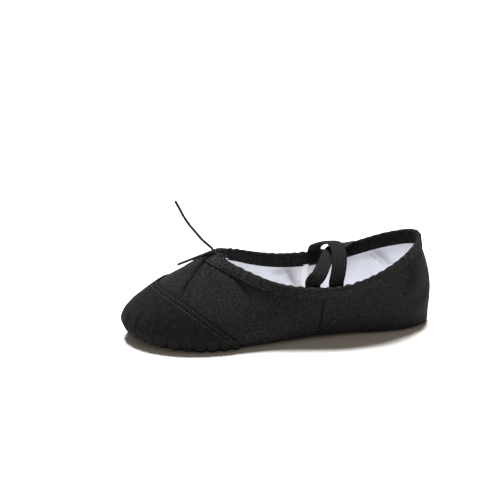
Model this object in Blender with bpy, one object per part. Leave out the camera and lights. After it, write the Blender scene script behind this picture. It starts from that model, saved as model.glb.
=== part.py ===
"""Ballet slipper: canvas upper, suede toe cap and split sole, crossed elastics, drawstring topline.

The shoe stands on its two sole pads at z = 0. +X points to the toe, +Y to the wearer's left and
+Z up. The foot shape is a loft of curved ribs that start at the feather edge, where the upper
meets the sole, and end at the topline round the foot opening. Every fabric layer is that loft,
moved in or out along its normal.
"""
import bpy
import bmesh
import math
import numpy as np
from mathutils import Vector

MM = 0.001
GAP = 0.0003                  # clearance between pieces that touch
LENGTH_SHIFT = -111.8         # puts the heel-to-toe table below in the middle of the frame

# The last, in mm from the back of the heel. Each row is one rib on the left side:
# feather edge x, y, z, then topline x, y, z, then how the rib bulges between them
# (out 1, rise 1, out 2, rise 2, pull towards the feather edge, drop below the topline).
LAST = [
    ("toe tip",    219.0,  0.0, 6.0, 157.5,  0.0, 57.0, 8, 9, 1, 17.5, 0.60, 14),
    ("toe round",  211.0, 17.0, 5.5, 156.5,  3.5, 57.0, 8, 9, 1, 17.5, 0.60, 14),
    ("toe side",   192.0, 29.0, 4.0, 152.0, 10.0, 57.0, 7, 8, 2, 17.0, 0.60, 13),
    ("ball",       168.0, 34.0, 2.5, 140.0, 19.0, 53.5, 6, 8, 4, 16.0, 0.50, 12),
    ("vamp side",  138.0, 32.0, 2.5, 122.0, 28.5, 47.0, 6, 8, 6, 16.0, 0.35, 11),
    ("waist",      102.0, 27.0, 3.5,  97.0, 34.0, 42.5, 5, 9, 6, 22.0, 0.20,  9),
    ("side seam",   67.0, 23.5, 3.5,  67.0, 36.0, 44.0, 5, 9, 6, 26.0, 0.10,  9),
    ("heel front",  35.0, 22.0, 2.0,  38.0, 29.5, 54.0, 5, 9, 6, 30.0, 0.00, 10),
    ("heel side",   13.0, 15.5, 2.0,  21.5, 19.0, 61.5, 5, 9, 6, 34.0, 0.00, 12),
    ("heel round",   6.0,  8.0, 2.0,  14.0, 10.0, 65.3, 5, 9, 6, 36.0, 0.00, 12),
    ("heel back",    4.0,  0.0, 2.0,  11.5,  0.0, 66.8, 5, 9, 6, 36.0, 0.00, 12),
]

# Ribs: numbered round the shoe from the toe tip along the left side to the heel and back.
VAMP_RIBS = 14                # from the toe tip to a side seam
QUARTER_RIBS = 9              # from a side seam to the back of the heel
ALL_RIBS = 2 * (VAMP_RIBS + QUARTER_RIBS)
SEAM_S = 0.304                # where the side seam is, as a share of the way round
CAP_RIBS = 9                  # the toe cap's corners, in ribs from the toe tip
CAP_TOP = 0.695               # the cap's upper edge at the middle, as a share of the rib
CAP_CORNER = 0.06             # and at its corners, close to the sole
BESIDE_CAP = 0.45             # the same grid row at the side seam
LOWER_ROWS = 4                # rows of the grid up to the cap line
UPPER_ROWS = 4                # rows from there to the casing

# Layers, as distances from the loft surface; positive is outward.
CANVAS = (-0.8 * MM, 0.0)
LINING = (-1.6 * MM, -1.1 * MM)
CAP = (0.35 * MM, 1.15 * MM)
TAPE = (-2.3 * MM, -1.95 * MM)
CASING_OUT = (0.3 * MM, 1.0 * MM)
CASING_IN = (-2.6 * MM, -1.9 * MM)
CANVAS_TOP = 3.0 * MM         # the canvas and lining end this far below the rim, inside the casing
CASING_OUT_DEEP = 7.5 * MM
CASING_IN_DEEP = 10.0 * MM
LEG_ROW = 10.5 * MM           # grid row just below the casing

SEAM_CLEARANCE = 0.02         # panels stop this share of a rib short of the seam they share
TAPE_HALF = 0.45              # half the width of a seam tape, in ribs
TAPE_LOW = 0.14               # t of its lower end
TAPE_CLEARANCE = 0.01         # t kept free below the casing

# The casing's fold over the rim
RIM_ROUND = 0.5 * MM          # it stands this far above the topline
RIM_SHOULDER = 0.6            # its corners are this share of that
RIM_CORNER = 1.0 * MM         # depth at which its faces turn into the fold
RIM_ROOF = 0.35 * MM          # depth of the fold's inner face

THREAD = 0.25 * MM            # thread radius
THREAD_PROUD = GAP + THREAD + 0.1 * MM
CAP_STITCH_DEPTHS = (1.6 * MM, 4.6 * MM)
CASING_STITCH_SHARE = 0.55    # the casing's stitches, as a share of the way down its outer leg
ZIGZAG_STEPS = 17
ZIGZAG_LOW = 0.35             # grid rows from which to which a seam is stitched
ZIGZAG_HIGH = LOWER_ROWS + UPPER_ROWS - 0.15
SIDE_ZIGZAG = 0.16            # half the width of the zigzags, in ribs
HEEL_ZIGZAG = 0.12

CORD = 0.8 * MM               # radius of the drawstring where the casing presses it
CORD_FREE = 1.0 * MM          # radius of its free ends
CORD_DROP = 1.75 * MM         # the drawstring's depth below the rim, inside the casing

# Bottom
PANEL_THICK = 0.8 * MM
SOCK_THICK = 1.6 * MM
PAD_INSET = 3.5 * MM
FOREFOOT_PAD = (15 * MM, 103 * MM)
HEEL_PAD = (-104.5 * MM, -58 * MM)
FOREFOOT_ROUND = 14 * MM      # radius of the pads' ends at the arch
HEEL_ROUND = 16 * MM
PAD_LEAST = 1.0 * MM          # the pads are nowhere thinner than this
PLATE_LEAST = 1.2 * MM        # half width at the tips of every bottom piece
SOCK_INSET = 1.2 * MM         # the footbed stops this far inside the lining
SPRING_START = 58 * MM        # the forefoot pad curves up from here to the toe
SPRING_END = 106 * MM
SPRING_RISE = 3.4 * MM

# Crossed elastics: the points that each slack loop passes through, in mm, between its left end
# and its right end. The ends' y and z come from the topline.
STRAP_WIDE = 10.0 * MM
STRAP_THICK = 1.0 * MM
STRAP_OVER = [(-33.4, 0, 0), (-34.9, 31.5, 52.5), (-36.6, 27.0, 60.5), (-36.9, 19.0, 65.2),
              (-35.9, 9.0, 65.6), (-34.6, -3.0, 61.6), (-33.7, -15.0, 56.2), (-32.8, -27.0, 50.2),
              (-32.4, 0, 0)]
STRAP_UNDER = [(-17.4, 0, 0), (-21.9, 30.3, 50.2), (-26.4, 25.5, 56.4), (-30.9, 18.5, 60.2),
               (-36.4, 9.0, 61.0), (-42.9, -2.5, 58.4), (-49.4, -14.0, 55.2), (-55.4, -26.0, 51.4),
               (-58.4, 0, 0)]
STRAP_LIFT = 1.6 * MM         # the free span starts this far above the rim
STRAP_STAND = 3.0 * MM        # and stands straight up for this much
STRAP_TURN = 16 * MM          # over this length it turns from along the rim to square to its run
STRAP_TAB = 8.5 * MM          # the sewn end reaches this far down inside the casing
TAB_TOP = 0.6 * MM            # and starts this far below the rim

# Drawstring tails, points from the knot outwards
KNOT = (45.6 * MM, 1.0 * MM, 60.4 * MM)
KNOT_RADII = (2.0 * MM, 2.3 * MM, 1.7 * MM)
LONG_TAIL = [(46.9, 1.0, 63.1), (52.6, 0.6, 68.6), (56.8, 0.2, 73.9), (61.0, -0.4, 79.4),
             (64.4, -1.0, 84.8), (67.8, -1.9, 91.7), (70.1, -2.4, 96.3)]
SHORT_TAIL = [(48.6, 0.6, 59.3), (52.0, -2.3, 56.8), (57.3, -6.5, 53.2), (62.8, -10.9, 49.4),
              (69.2, -15.8, 45.2)]

# Colours: linear red, green, blue, then roughness
LOOKS = {
    "canvas": ((0.030, 0.030, 0.032), 0.92),
    "suede": ((0.022, 0.021, 0.022), 0.95),
    "cotton": ((0.80, 0.82, 0.88), 0.90),
    "binding": ((0.026, 0.026, 0.028), 0.90),
    "elastic": ((0.028, 0.028, 0.030), 0.80),
    "cord": ((0.020, 0.020, 0.022), 0.55),
    "thread": ((0.060, 0.060, 0.064), 0.60),
}


# ---------------------------------------------------------------- the loft

def last_table():
    """The LAST in metres, closed round the shoe by mirroring the left side."""
    rows = np.array([row[1:] for row in LAST], dtype=float)
    rows[:, [0, 3]] += LENGTH_SHIFT
    rows[:, [0, 1, 2, 3, 4, 5, 6, 7, 8, 9, 11]] *= MM
    mirror = rows[-2:0:-1].copy()
    mirror[:, [1, 4]] *= -1
    step = np.linalg.norm(np.diff(rows[:, :2], axis=0), axis=1)
    half = np.concatenate([[0], np.cumsum(step)])
    half = half / half[-1] * 0.5
    return np.concatenate([half, 1 - half[-2:0:-1]]), np.vstack([rows, mirror])


KNOTS, TABLE = last_table()


def spline_curvature():
    """Second derivatives of the closed cubic spline through the table's rows."""
    count = len(KNOTS)
    span = np.diff(np.concatenate([KNOTS, [KNOTS[0] + 1.0]]))
    slope = (np.roll(TABLE, -1, axis=0) - TABLE) / span[:, None]
    system = np.zeros((count, count))
    right = np.zeros_like(TABLE)
    for i in range(count):
        before = (i - 1) % count
        system[i, before] += span[before] / 6
        system[i, i] += (span[before] + span[i]) / 3
        system[i, (i + 1) % count] += span[i] / 6
        right[i] = slope[i] - slope[before]
    return span, np.linalg.solve(system, right)


SPAN, CURVATURE = spline_curvature()


def table_at(s):
    """The table's columns at the shares s of the way round."""
    s = np.mod(s, 1.0)
    i = np.clip(np.searchsorted(KNOTS, s, side="right") - 1, 0, len(KNOTS) - 1)
    j = (i + 1) % len(KNOTS)
    h = SPAN[i][:, None]
    b = (s - KNOTS[i])[:, None] / h
    a = 1 - b
    bend = (a ** 3 - a) * CURVATURE[i] + (b ** 3 - b) * CURVATURE[j]
    return a * TABLE[i] + b * TABLE[j] + bend * h ** 2 / 6


def loft(s, t):
    """Points of the foot shape: s round the shoe, t from feather edge (0) to topline (1)."""
    s, t = np.broadcast_arrays(np.asarray(s, float), np.asarray(t, float))
    shape = s.shape
    s, t = s.ravel(), t.ravel()
    row = table_at(s)
    along = (table_at(s + 1e-4) - table_at(s - 1e-4))[:, :2]
    out = np.stack([along[:, 1], -along[:, 0], np.zeros(len(s))], axis=1)
    out /= np.linalg.norm(out, axis=1)[:, None]
    foot, top = row[:, 0:3], row[:, 3:6]
    out1, rise1, out2, rise2, pull, drop = (row[:, [k]] for k in range(6, 12))
    up = np.array([[0, 0, 1.0]])
    inward = (foot - top) * [1, 1, 0]
    control = [foot, foot + out * out1 + up * rise1, foot + out * out2 + up * rise2,
               top + inward * pull - up * drop, top]
    t = t[:, None]
    weights = [math.comb(4, k) * t ** k * (1 - t) ** (4 - k) for k in range(5)]
    return sum(w * c for w, c in zip(weights, control)).reshape(shape + (3,))


def normals(s, t):
    """Outward normals of the loft."""
    step = 1e-4
    t = np.clip(t, step, 1 - step)
    round_way = loft(s + step, t) - loft(s - step, t)
    up_way = loft(s, t + step) - loft(s, t - step)
    n = np.cross(round_way, up_way)
    n /= np.linalg.norm(n, axis=-1)[..., None]
    return n


def depth_to_t(s, depth):
    """The t that lies a given length below the topline, measured along each rib."""
    fine = np.linspace(1, 0, 161)
    s = np.atleast_1d(s)
    points = loft(s[:, None], fine[None, :])
    length = np.cumsum(np.linalg.norm(np.diff(points, axis=1), axis=2), axis=1)
    return np.array([np.interp(depth, np.concatenate([[0], row]), fine) for row in length])


def rib_positions():
    """Where the ribs are, as s, evenly spaced within the vamp and within the quarters."""
    vamp = np.linspace(0, SEAM_S, VAMP_RIBS + 1)
    quarter = np.linspace(SEAM_S, 0.5, QUARTER_RIBS + 1)[1:]
    half = np.concatenate([vamp, quarter])
    return np.concatenate([half, 1 - half[-2:0:-1], [1.0]])


RIB_S = rib_positions()


def cap_line(ribs):
    """t of the toe cap's edge: it falls from CAP_TOP to CAP_CORNER, and rises again past the cap."""
    ribs = np.abs(((ribs + ALL_RIBS / 2) % ALL_RIBS) - ALL_RIBS / 2)
    on_cap = np.clip(ribs / CAP_RIBS, 0, 1)
    edge = CAP_CORNER + (CAP_TOP - CAP_CORNER) * (1 - on_cap ** 2.5) ** 0.65
    beyond = np.clip((ribs - CAP_RIBS) / (VAMP_RIBS - CAP_RIBS), 0, 1)
    return edge + beyond * (BESIDE_CAP - CAP_CORNER)


def row_t(ribs):
    """The t of every grid row on the given ribs, from the feather edge up to the canvas's top edge."""
    ribs = np.asarray(ribs, float)
    s = np.interp(ribs, np.arange(ALL_RIBS + 1), RIB_S)
    middle = cap_line(ribs)
    leg = depth_to_t(s, LEG_ROW)
    top = depth_to_t(s, CANVAS_TOP)
    lower = [middle * k / LOWER_ROWS for k in range(LOWER_ROWS)]
    upper = [middle + (leg - middle) * k / UPPER_ROWS for k in range(UPPER_ROWS + 1)]
    return np.stack(lower + upper + [top], axis=1)


CAP_ROW = LOWER_ROWS
LEG_LEVEL = LOWER_ROWS + UPPER_ROWS


def on_rib(rib, t, offset):
    """Points on a whole-numbered rib, moved along the normal."""
    s = np.interp(rib, np.arange(ALL_RIBS + 1), RIB_S)
    t = np.asarray(t, float)
    return loft(s, t) + normals(s, t) * np.asarray(offset, float)[..., None]


def between_ribs(rib, ts, offset):
    """Like on_rib, but a rib between two others lies on the flat facet between them."""
    rib = rib % ALL_RIBS
    low = math.floor(rib)
    share = rib - low
    here = on_rib(low, ts(low), offset)
    if share == 0:
        return here
    return here * (1 - share) + on_rib(low + 1, ts(low + 1), offset) * share


# ---------------------------------------------------------------- mesh helpers

def material(name):
    found = bpy.data.materials.get(name)
    if found:
        return found
    colour, rough = LOOKS[name]
    made = bpy.data.materials.new(name)
    made.use_nodes = True
    shader = made.node_tree.nodes["Principled BSDF"]
    shader.inputs["Base Color"].default_value = (*colour, 1)
    shader.inputs["Roughness"].default_value = rough
    shader.inputs["Metallic"].default_value = 0
    return made


def add(name, mesh_or_curve, look):
    """Put a mesh or curve in the scene, with its own copy of the look."""
    own = material(look).copy()
    own.name = name + "_" + look
    mesh_or_curve.materials.append(own)
    item = bpy.data.objects.new(name, mesh_or_curve)
    bpy.context.collection.objects.link(item)
    return item


def to_mesh(name, points, faces):
    mesh = bpy.data.meshes.new(name)
    mesh.from_pydata([tuple(p) for p in points], [], faces)
    work = bmesh.new()
    work.from_mesh(mesh)
    bmesh.ops.recalc_face_normals(work, faces=work.faces)
    work.to_mesh(mesh)
    work.free()
    mesh.shade_smooth()
    mesh.set_sharp_from_angle(angle=math.radians(35))
    return mesh


def slab(name, outer, inner, look):
    """A closed sheet between two grids of points of the same shape.

    Every layer splits its quads along the same diagonal, so that stacked layers stay clear.
    """
    rows, cols = outer.shape[:2]
    count = rows * cols
    faces = []
    for i in range(rows - 1):
        for j in range(cols - 1):
            a, b, c, d = i * cols + j, (i + 1) * cols + j, (i + 1) * cols + j + 1, i * cols + j + 1
            for face in ((a, b, c), (a, c, d)):
                faces.append(face)
                faces.append(tuple(count + k for k in reversed(face)))
    edge = [(i, 0) for i in range(rows)] + [(rows - 1, j) for j in range(1, cols)]
    edge += [(i, cols - 1) for i in range(rows - 2, -1, -1)] + [(0, j) for j in range(cols - 2, 0, -1)]
    ring = [i * cols + j for i, j in edge]
    for k, a in enumerate(ring):
        b = ring[(k + 1) % len(ring)]
        faces.append((b, a, count + a, count + b))
    points = np.concatenate([outer.reshape(-1, 3), inner.reshape(-1, 3)])
    return add(name, to_mesh(name, points, faces), look)


def grid_rows(last):
    """A function that gives the t of a rib's grid rows, up to the last one wanted."""
    def rows_of(rib):
        return row_t([rib % ALL_RIBS])[0][:last + 1]
    return rows_of


def shell(name, ribs, rows_of, layer, look):
    """One fabric layer of the loft over the given ribs; rows_of gives the t of a rib's grid rows."""
    inner, outer = layer
    sides = []
    for offset in (outer, inner):
        count = len(rows_of(math.floor(ribs[0])))
        sides.append(np.array([between_ribs(rib, rows_of, np.full(count, offset)) for rib in ribs]))
    return slab(name, sides[0], sides[1], look)


def tube(name, points, radius, look, resolution=0):
    """A round thread or cord along points."""
    curve = bpy.data.curves.new(name, "CURVE")
    curve.dimensions = "3D"
    curve.bevel_depth = radius
    curve.bevel_resolution = resolution
    curve.use_fill_caps = True
    line = curve.splines.new("POLY")
    line.points.add(len(points) - 1)
    for point, place in zip(line.points, points):
        point.co = (*place, 1)
    return add(name, curve, look)


def smooth_line(points, step):
    """A smooth curve through a few points, read at even steps."""
    points = np.array(points, float)
    ends = np.vstack([2 * points[0] - points[1], points, 2 * points[-1] - points[-2]])
    fine = []
    for i in range(len(points) - 1):
        p0, p1, p2, p3 = ends[i:i + 4]
        for u in np.linspace(0, 1, 24, endpoint=False):
            fine.append(0.5 * (2 * p1 + (p2 - p0) * u + (2 * p0 - 5 * p1 + 4 * p2 - p3) * u ** 2
                               + (3 * p1 - p0 - 3 * p2 + p3) * u ** 3))
    fine = np.array(fine + [points[-1]])
    length = np.concatenate([[0], np.cumsum(np.linalg.norm(np.diff(fine, axis=0), axis=1))])
    even = np.linspace(0, length[-1], max(2, round(length[-1] / step) + 1))
    return np.stack([np.interp(even, length, fine[:, k]) for k in range(3)], axis=1)


# ---------------------------------------------------------------- upper

def make_upper():
    """The canvas panels, their lining and the toe cap. The quarters meet the vamp at the side seams
    and each other at the back of the heel, and stop just clear of both."""
    seam, heel = VAMP_RIBS, VAMP_RIBS + QUARTER_RIBS
    to_casing = grid_rows(LEG_LEVEL + 1)
    vamp = range(-seam, seam + 1)
    shell("vamp", vamp, to_casing, CANVAS, "canvas")
    shell("vamp_lining", vamp, to_casing, LINING, "cotton")
    for side, first, last in (("left", seam, heel), ("right", heel, ALL_RIBS - seam)):
        ribs = [first + SEAM_CLEARANCE, *range(first + 1, last), last - SEAM_CLEARANCE]
        shell(f"quarter_{side}", ribs, to_casing, CANVAS, "canvas")
        shell(f"quarter_lining_{side}", ribs, to_casing, LINING, "cotton")
    shell("toe_cap", range(-CAP_RIBS, CAP_RIBS + 1), grid_rows(CAP_ROW), CAP, "suede")


def tape_rows(rib):
    """The t of a seam tape's grid rows: the panels' own rows between the tape's two ends."""
    rows = row_t([rib % ALL_RIBS])[0]
    high = rows[LEG_LEVEL] - TAPE_CLEARANCE
    kept = rows[(rows > TAPE_LOW + 2 * TAPE_CLEARANCE) & (rows < high - TAPE_CLEARANCE)]
    return np.concatenate([[TAPE_LOW], kept, [high]])


def make_tapes():
    """Cotton tapes over the seams, inside the shoe."""
    seam, heel = VAMP_RIBS, VAMP_RIBS + QUARTER_RIBS
    for name, rib in (("side_seam_tape_left", seam), ("side_seam_tape_right", ALL_RIBS - seam),
                      ("heel_seam_tape", heel)):
        shell(name, [rib - TAPE_HALF, rib, rib + TAPE_HALF], tape_rows, TAPE, "cotton")


# ---------------------------------------------------------------- topline

def casing_section(rib):
    """The casing's U section: an outer leg, a rounded rim over the drawstring, and an inner leg."""
    s = np.interp(rib, np.arange(ALL_RIBS + 1), RIB_S)
    low_in, low_out = CASING_IN
    up_in, up_out = CASING_OUT
    mid = (low_out + up_in) / 2
    shoulder = -RIM_ROUND * RIM_SHOULDER
    outline = [(up_out, CASING_OUT_DEEP), (up_out, CANVAS_TOP), (up_out, RIM_CORNER),
               (up_in, shoulder), (mid, -RIM_ROUND), (low_out, shoulder),
               (low_in, RIM_CORNER), (low_in, CANVAS_TOP), (low_in, CASING_IN_DEEP),
               (low_out, CASING_IN_DEEP), (low_out, CANVAS_TOP), (low_out, RIM_CORNER),
               (mid, RIM_ROOF), (up_in, RIM_CORNER), (up_in, CANVAS_TOP), (up_in, CASING_OUT_DEEP)]
    rim_point = loft(s, 1.0)
    up = rim_point - loft(s, float(depth_to_t(s, RIM_CORNER)[0]))
    up /= np.linalg.norm(up)
    out = normals(s, np.array(1.0))
    leg_t = depth_to_t(s, LEG_ROW)[0]
    top_t = depth_to_t(s, CANVAS_TOP)[0]
    points = []
    for offset, deep in outline:
        if deep < CANVAS_TOP:
            points.append(rim_point - up * deep + out * offset)
        else:
            share = (deep - CANVAS_TOP) / (LEG_ROW - CANVAS_TOP)
            ends = on_rib(rib, np.array([top_t, leg_t]), np.array([offset, offset]))
            points.append(ends[0] * (1 - share) + ends[1] * share)
    return np.array(points)


def make_casing():
    """The folded binding round the foot opening; its two ends leave the drawstring's opening."""
    ribs = range(1, ALL_RIBS)
    rings = [casing_section(rib) for rib in ribs]
    size = len(rings[0])
    faces = []
    for i in range(len(rings) - 1):
        for j in range(size):
            k = (j + 1) % size
            faces.append((i * size + j, i * size + k, (i + 1) * size + k, (i + 1) * size + j))
    faces.append(tuple(range(size)))
    last = (len(rings) - 1) * size
    faces.append(tuple(last + j for j in range(size - 1, -1, -1)))
    add("topline_casing", to_mesh("topline_casing", np.concatenate(rings), faces), "binding")


def cord_point(rib):
    """Where the drawstring passes a rib, in the middle of the casing's fold."""
    s = np.interp(rib, np.arange(ALL_RIBS + 1), RIB_S)
    rim_point = loft(s, 1.0)
    up = rim_point - loft(s, float(depth_to_t(s, RIM_CORNER)[0]))
    up /= np.linalg.norm(up)
    middle = (CASING_IN[1] + CASING_OUT[0]) / 2
    return rim_point - up * CORD_DROP + normals(s, np.array(1.0)) * middle


def make_drawstring():
    """The cord inside the casing, the knot in front of it and the two free ends."""
    ring = [cord_point(rib) for rib in range(1, ALL_RIBS)]
    tube("drawstring", ring, CORD, "cord", resolution=1)
    knot = bpy.data.meshes.new("drawstring_knot")
    work = bmesh.new()
    bmesh.ops.create_icosphere(work, subdivisions=2, radius=1.0)
    for vertex in work.verts:
        vertex.co = vertex.co * Vector(KNOT_RADII) + Vector(KNOT)
    work.to_mesh(knot)
    work.free()
    knot.shade_smooth()
    add("drawstring_knot", knot, "cord")
    for name, route in (("drawstring_end_long", LONG_TAIL), ("drawstring_end_short", SHORT_TAIL)):
        tube(name, smooth_line(np.array(route) * MM, 4 * CORD_FREE), CORD_FREE, "cord", resolution=2)


# ---------------------------------------------------------------- bottom

def feather_line(inset):
    """Half width of the bottom outline over x, moved in from the feather edge."""
    s = np.linspace(0, 0.5, 241)
    edge = loft(s, 0.0)
    along = np.gradient(edge[:, :2], axis=0)
    along /= np.linalg.norm(along, axis=1)[:, None]
    out = np.stack([along[:, 1], -along[:, 0]], axis=1)
    moved = edge[:, :2] - out * inset
    order = np.argsort(moved[:, 0])
    return moved[order, 0], np.maximum(moved[order, 1], 0), edge[order, 2]


def plate(name, ends, inset, low, high, look, stations=22, round_front=0.0, round_back=0.0):
    """A flat piece that fills the bottom outline between two ends, low(x, z) to high(x, z)."""
    line_x, line_y, line_z = feather_line(inset)
    first, last = max(ends[0], line_x[0]), min(ends[1], line_x[-1])
    angle = np.linspace(0, math.pi, stations)
    xs = (first + last) / 2 - (last - first) / 2 * np.cos(angle)
    half = np.interp(xs, line_x, line_y)
    for radius, away in ((round_back, xs - first), (round_front, last - xs)):
        if radius:
            near = np.clip(1 - away / radius, 0, 1)
            half = half * np.sqrt(1 - 0.97 * near ** 2)
    half = np.maximum(half, PLATE_LEAST)
    heights = np.interp(xs, line_x, line_z)
    across = np.array([-1, -0.5, 0.5, 1])
    top, under = [], []
    for x, y, z in zip(xs, half, heights):
        top.append([(x, y * w, high(x, z)) for w in across])
        under.append([(x, y * w, low(x, z)) for w in across])
    return slab(name, np.array(top), np.array(under), look)


def spring(x):
    """Height of the sole's underside: flat on the ground, then curving up under the toe."""
    reach = (x - SPRING_START) / (SPRING_END - SPRING_START)
    return SPRING_RISE * max(0.0, reach) ** 2


def make_bottom():
    """The canvas bottom, the footbed on it and the two sole pads under it."""
    half_panel = PANEL_THICK / 2
    clear = half_panel + GAP
    inside = -LINING[0] + GAP
    whole = (-1.0, 1.0)
    plate("arch_panel", whole, inside + GAP, lambda x, z: z - half_panel, lambda x, z: z + half_panel,
          "canvas", stations=26)
    plate("insole_sock", whole, inside + SOCK_INSET, lambda x, z: z + clear,
          lambda x, z: z + clear + SOCK_THICK, "cotton", stations=26)
    plate("forefoot_sole", FOREFOOT_PAD, PAD_INSET, lambda x, z: spring(x),
          lambda x, z: max(z - clear, spring(x) + PAD_LEAST), "suede", round_back=FOREFOOT_ROUND,
          stations=18)
    plate("heel_sole", HEEL_PAD, PAD_INSET, lambda x, z: 0.0, lambda x, z: z - clear,
          "suede", round_front=HEEL_ROUND, stations=14)


# ---------------------------------------------------------------- elastics

def rim_lookup():
    """Minus x, and s, along the left half of the topline."""
    s = np.linspace(0.12, 0.45, 200)
    return -loft(s, 1.0)[:, 0], s


RIM_X, RIM_HALF = rim_lookup()


def rim_place(x, side, offset):
    """The topline at x on the left (side 1) or the right (-1), moved along its normal."""
    s = np.interp(-x, RIM_X, RIM_HALF)
    place = loft(s, 1.0) + normals(s, np.array(1.0)) * offset
    ahead = loft(s - 0.01, 1.0) - loft(s + 0.01, 1.0)
    mirror = np.array([1, side, 1])
    return place * mirror, ahead * mirror / np.linalg.norm(ahead)


def strap(name, route):
    """The free span of one elastic, hinged on the line through its two ends."""
    offset = CASING_IN[0] - GAP - STRAP_THICK / 2
    left, left_rim = rim_place(route[0][0] * MM, 1, offset)
    right, right_rim = rim_place(route[-1][0] * MM, -1, offset)
    up = np.array([0, 0, 1.0])
    starts = [end + up * rise for end in (left, right) for rise in (STRAP_LIFT, STRAP_LIFT + STRAP_STAND)]
    through = starts[:2] + [np.array(p) * MM for p in route[1:-1]] + starts[:1:-1]
    line = smooth_line(through, 5 * MM)
    along = np.gradient(line, axis=0)
    along /= np.linalg.norm(along, axis=1)[:, None]
    run = right - left
    square = np.array([-run[1], run[0], 0.0]) / np.linalg.norm(run[:2])
    travelled = np.concatenate([[0], np.cumsum(np.linalg.norm(np.diff(line, axis=0), axis=1))])
    outer, inner = [], []
    for point, way, length in zip(line, along, travelled):
        by_left = max(0.0, 1 - length / STRAP_TURN)
        by_right = max(0.0, 1 - (travelled[-1] - length) / STRAP_TURN)
        wide = square * (1 - by_left - by_right) + left_rim * by_left + right_rim * by_right
        wide -= way * way.dot(wide)
        wide /= np.linalg.norm(wide)
        face = np.cross(way, wide) * STRAP_THICK / 2
        edges = [point + wide * STRAP_WIDE / 2 * w for w in (-1, 1)]
        outer.append([edge + face for edge in edges])
        inner.append([edge - face for edge in edges])
    add_hinged(slab(name, np.array(outer), np.array(inner), "elastic"), (left + right) / 2)


def add_hinged(item, axis_point):
    """Move an object's origin onto its joint's axis, leaving its shape where it is."""
    for vertex in item.data.vertices:
        vertex.co -= Vector(axis_point)
    item.location = axis_point


def strap_tab(name, x, sign):
    """The sewn end of an elastic, flat against the casing's inner leg."""
    s = np.interp(-x * MM, RIM_X, RIM_HALF)
    rib = np.interp(s if sign > 0 else 1 - s, RIB_S, np.arange(ALL_RIBS + 1))
    rim_x = loft(RIB_S, 1.0)[:, 0]
    reach = STRAP_WIDE / 2 / abs(rim_x[int(rib) + 1] - rim_x[int(rib)])
    ribs = [rib - reach, *range(math.ceil(rib - reach), math.floor(rib + reach) + 1), rib + reach]

    def tab_rows(k):
        place = RIB_S[k % ALL_RIBS]
        return np.array([depth_to_t(place, d)[0] for d in (STRAP_TAB, CANVAS_TOP, TAB_TOP)])
    shell(name, ribs, tab_rows, (CASING_IN[0] - GAP - STRAP_THICK, CASING_IN[0] - GAP), "elastic")


def make_straps():
    """The two crossed elastics and their four sewn ends."""
    strap("elastic_strap_over", STRAP_OVER)
    strap("elastic_strap_under", STRAP_UNDER)
    strap_tab("strap_end_rear_left", STRAP_OVER[0][0], 1)
    strap_tab("strap_end_front_right", STRAP_OVER[-1][0], -1)
    strap_tab("strap_end_front_left", STRAP_UNDER[0][0], 1)
    strap_tab("strap_end_rear_right", STRAP_UNDER[-1][0], -1)


# ---------------------------------------------------------------- stitching

def cap_stitch_row(below):
    """Points a given length below the toe cap's edge, from corner to corner."""
    line = []
    for rib in range(-CAP_RIBS + 1, CAP_RIBS):
        t = row_t([rib % ALL_RIBS])[0][:CAP_ROW + 1]
        down = on_rib(rib % ALL_RIBS, t, np.full(len(t), CAP[1] + THREAD_PROUD))[::-1]
        length = np.concatenate([[0], np.cumsum(np.linalg.norm(np.diff(down, axis=0), axis=1))])
        depth = min(below, length[-1] * 0.6)
        line.append([np.interp(depth, length, down[:, k]) for k in range(3)])
    return line


def casing_stitch_row():
    """Points along the lower part of the casing's outer leg, all round the opening."""
    line = []
    for rib in range(2, ALL_RIBS - 1):
        t = np.array([depth_to_t(RIB_S[rib], deep)[0] for deep in (CANVAS_TOP, LEG_ROW)])
        high, low = on_rib(rib, t, np.full(2, CASING_OUT[1] + THREAD_PROUD))
        line.append(high * (1 - CASING_STITCH_SHARE) + low * CASING_STITCH_SHARE)
    return line


def on_facet_row(rib, level, offset):
    """A point on the straight edges between a rib's grid rows, at a level counted in rows."""
    rows = row_t([rib % ALL_RIBS])[0]
    points = on_rib(rib % ALL_RIBS, rows, np.full(len(rows), offset))
    return np.array([np.interp(level, np.arange(len(rows)), points[:, k]) for k in range(3)])


def seam_zigzag(rib, reach):
    """A zigzag over a seam, from above the sole to below the casing."""
    line = []
    for k in range(ZIGZAG_STEPS):
        here = rib + reach * (1 if k % 2 else -1)
        level = ZIGZAG_LOW + (ZIGZAG_HIGH - ZIGZAG_LOW) * k / (ZIGZAG_STEPS - 1)
        low = math.floor(here)
        ends = [on_facet_row(r, level, CANVAS[1] + THREAD_PROUD) for r in (low, low + 1)]
        line.append(ends[0] * (1 - (here - low)) + ends[1] * (here - low))
    return line


def make_stitching():
    """Each row of stitching is one thread, laid just proud of what it sews."""
    upper_row, lower_row = (cap_stitch_row(below) for below in CAP_STITCH_DEPTHS)
    tube("toe_cap_stitching", upper_row + lower_row[::-1], THREAD, "thread")
    tube("casing_stitching", casing_stitch_row(), THREAD, "thread")
    for side, rib in (("left", VAMP_RIBS), ("right", ALL_RIBS - VAMP_RIBS)):
        tube(f"side_seam_stitching_{side}", seam_zigzag(rib, SIDE_ZIGZAG), THREAD, "thread")
    tube("heel_seam_stitching", seam_zigzag(VAMP_RIBS + QUARTER_RIBS, HEEL_ZIGZAG), THREAD, "thread")


def main():
    for item in list(bpy.data.objects):
        bpy.data.objects.remove(item, do_unlink=True)
    make_upper()
    make_tapes()
    make_casing()
    make_drawstring()
    make_bottom()
    make_straps()
    make_stitching()


main()
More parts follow.
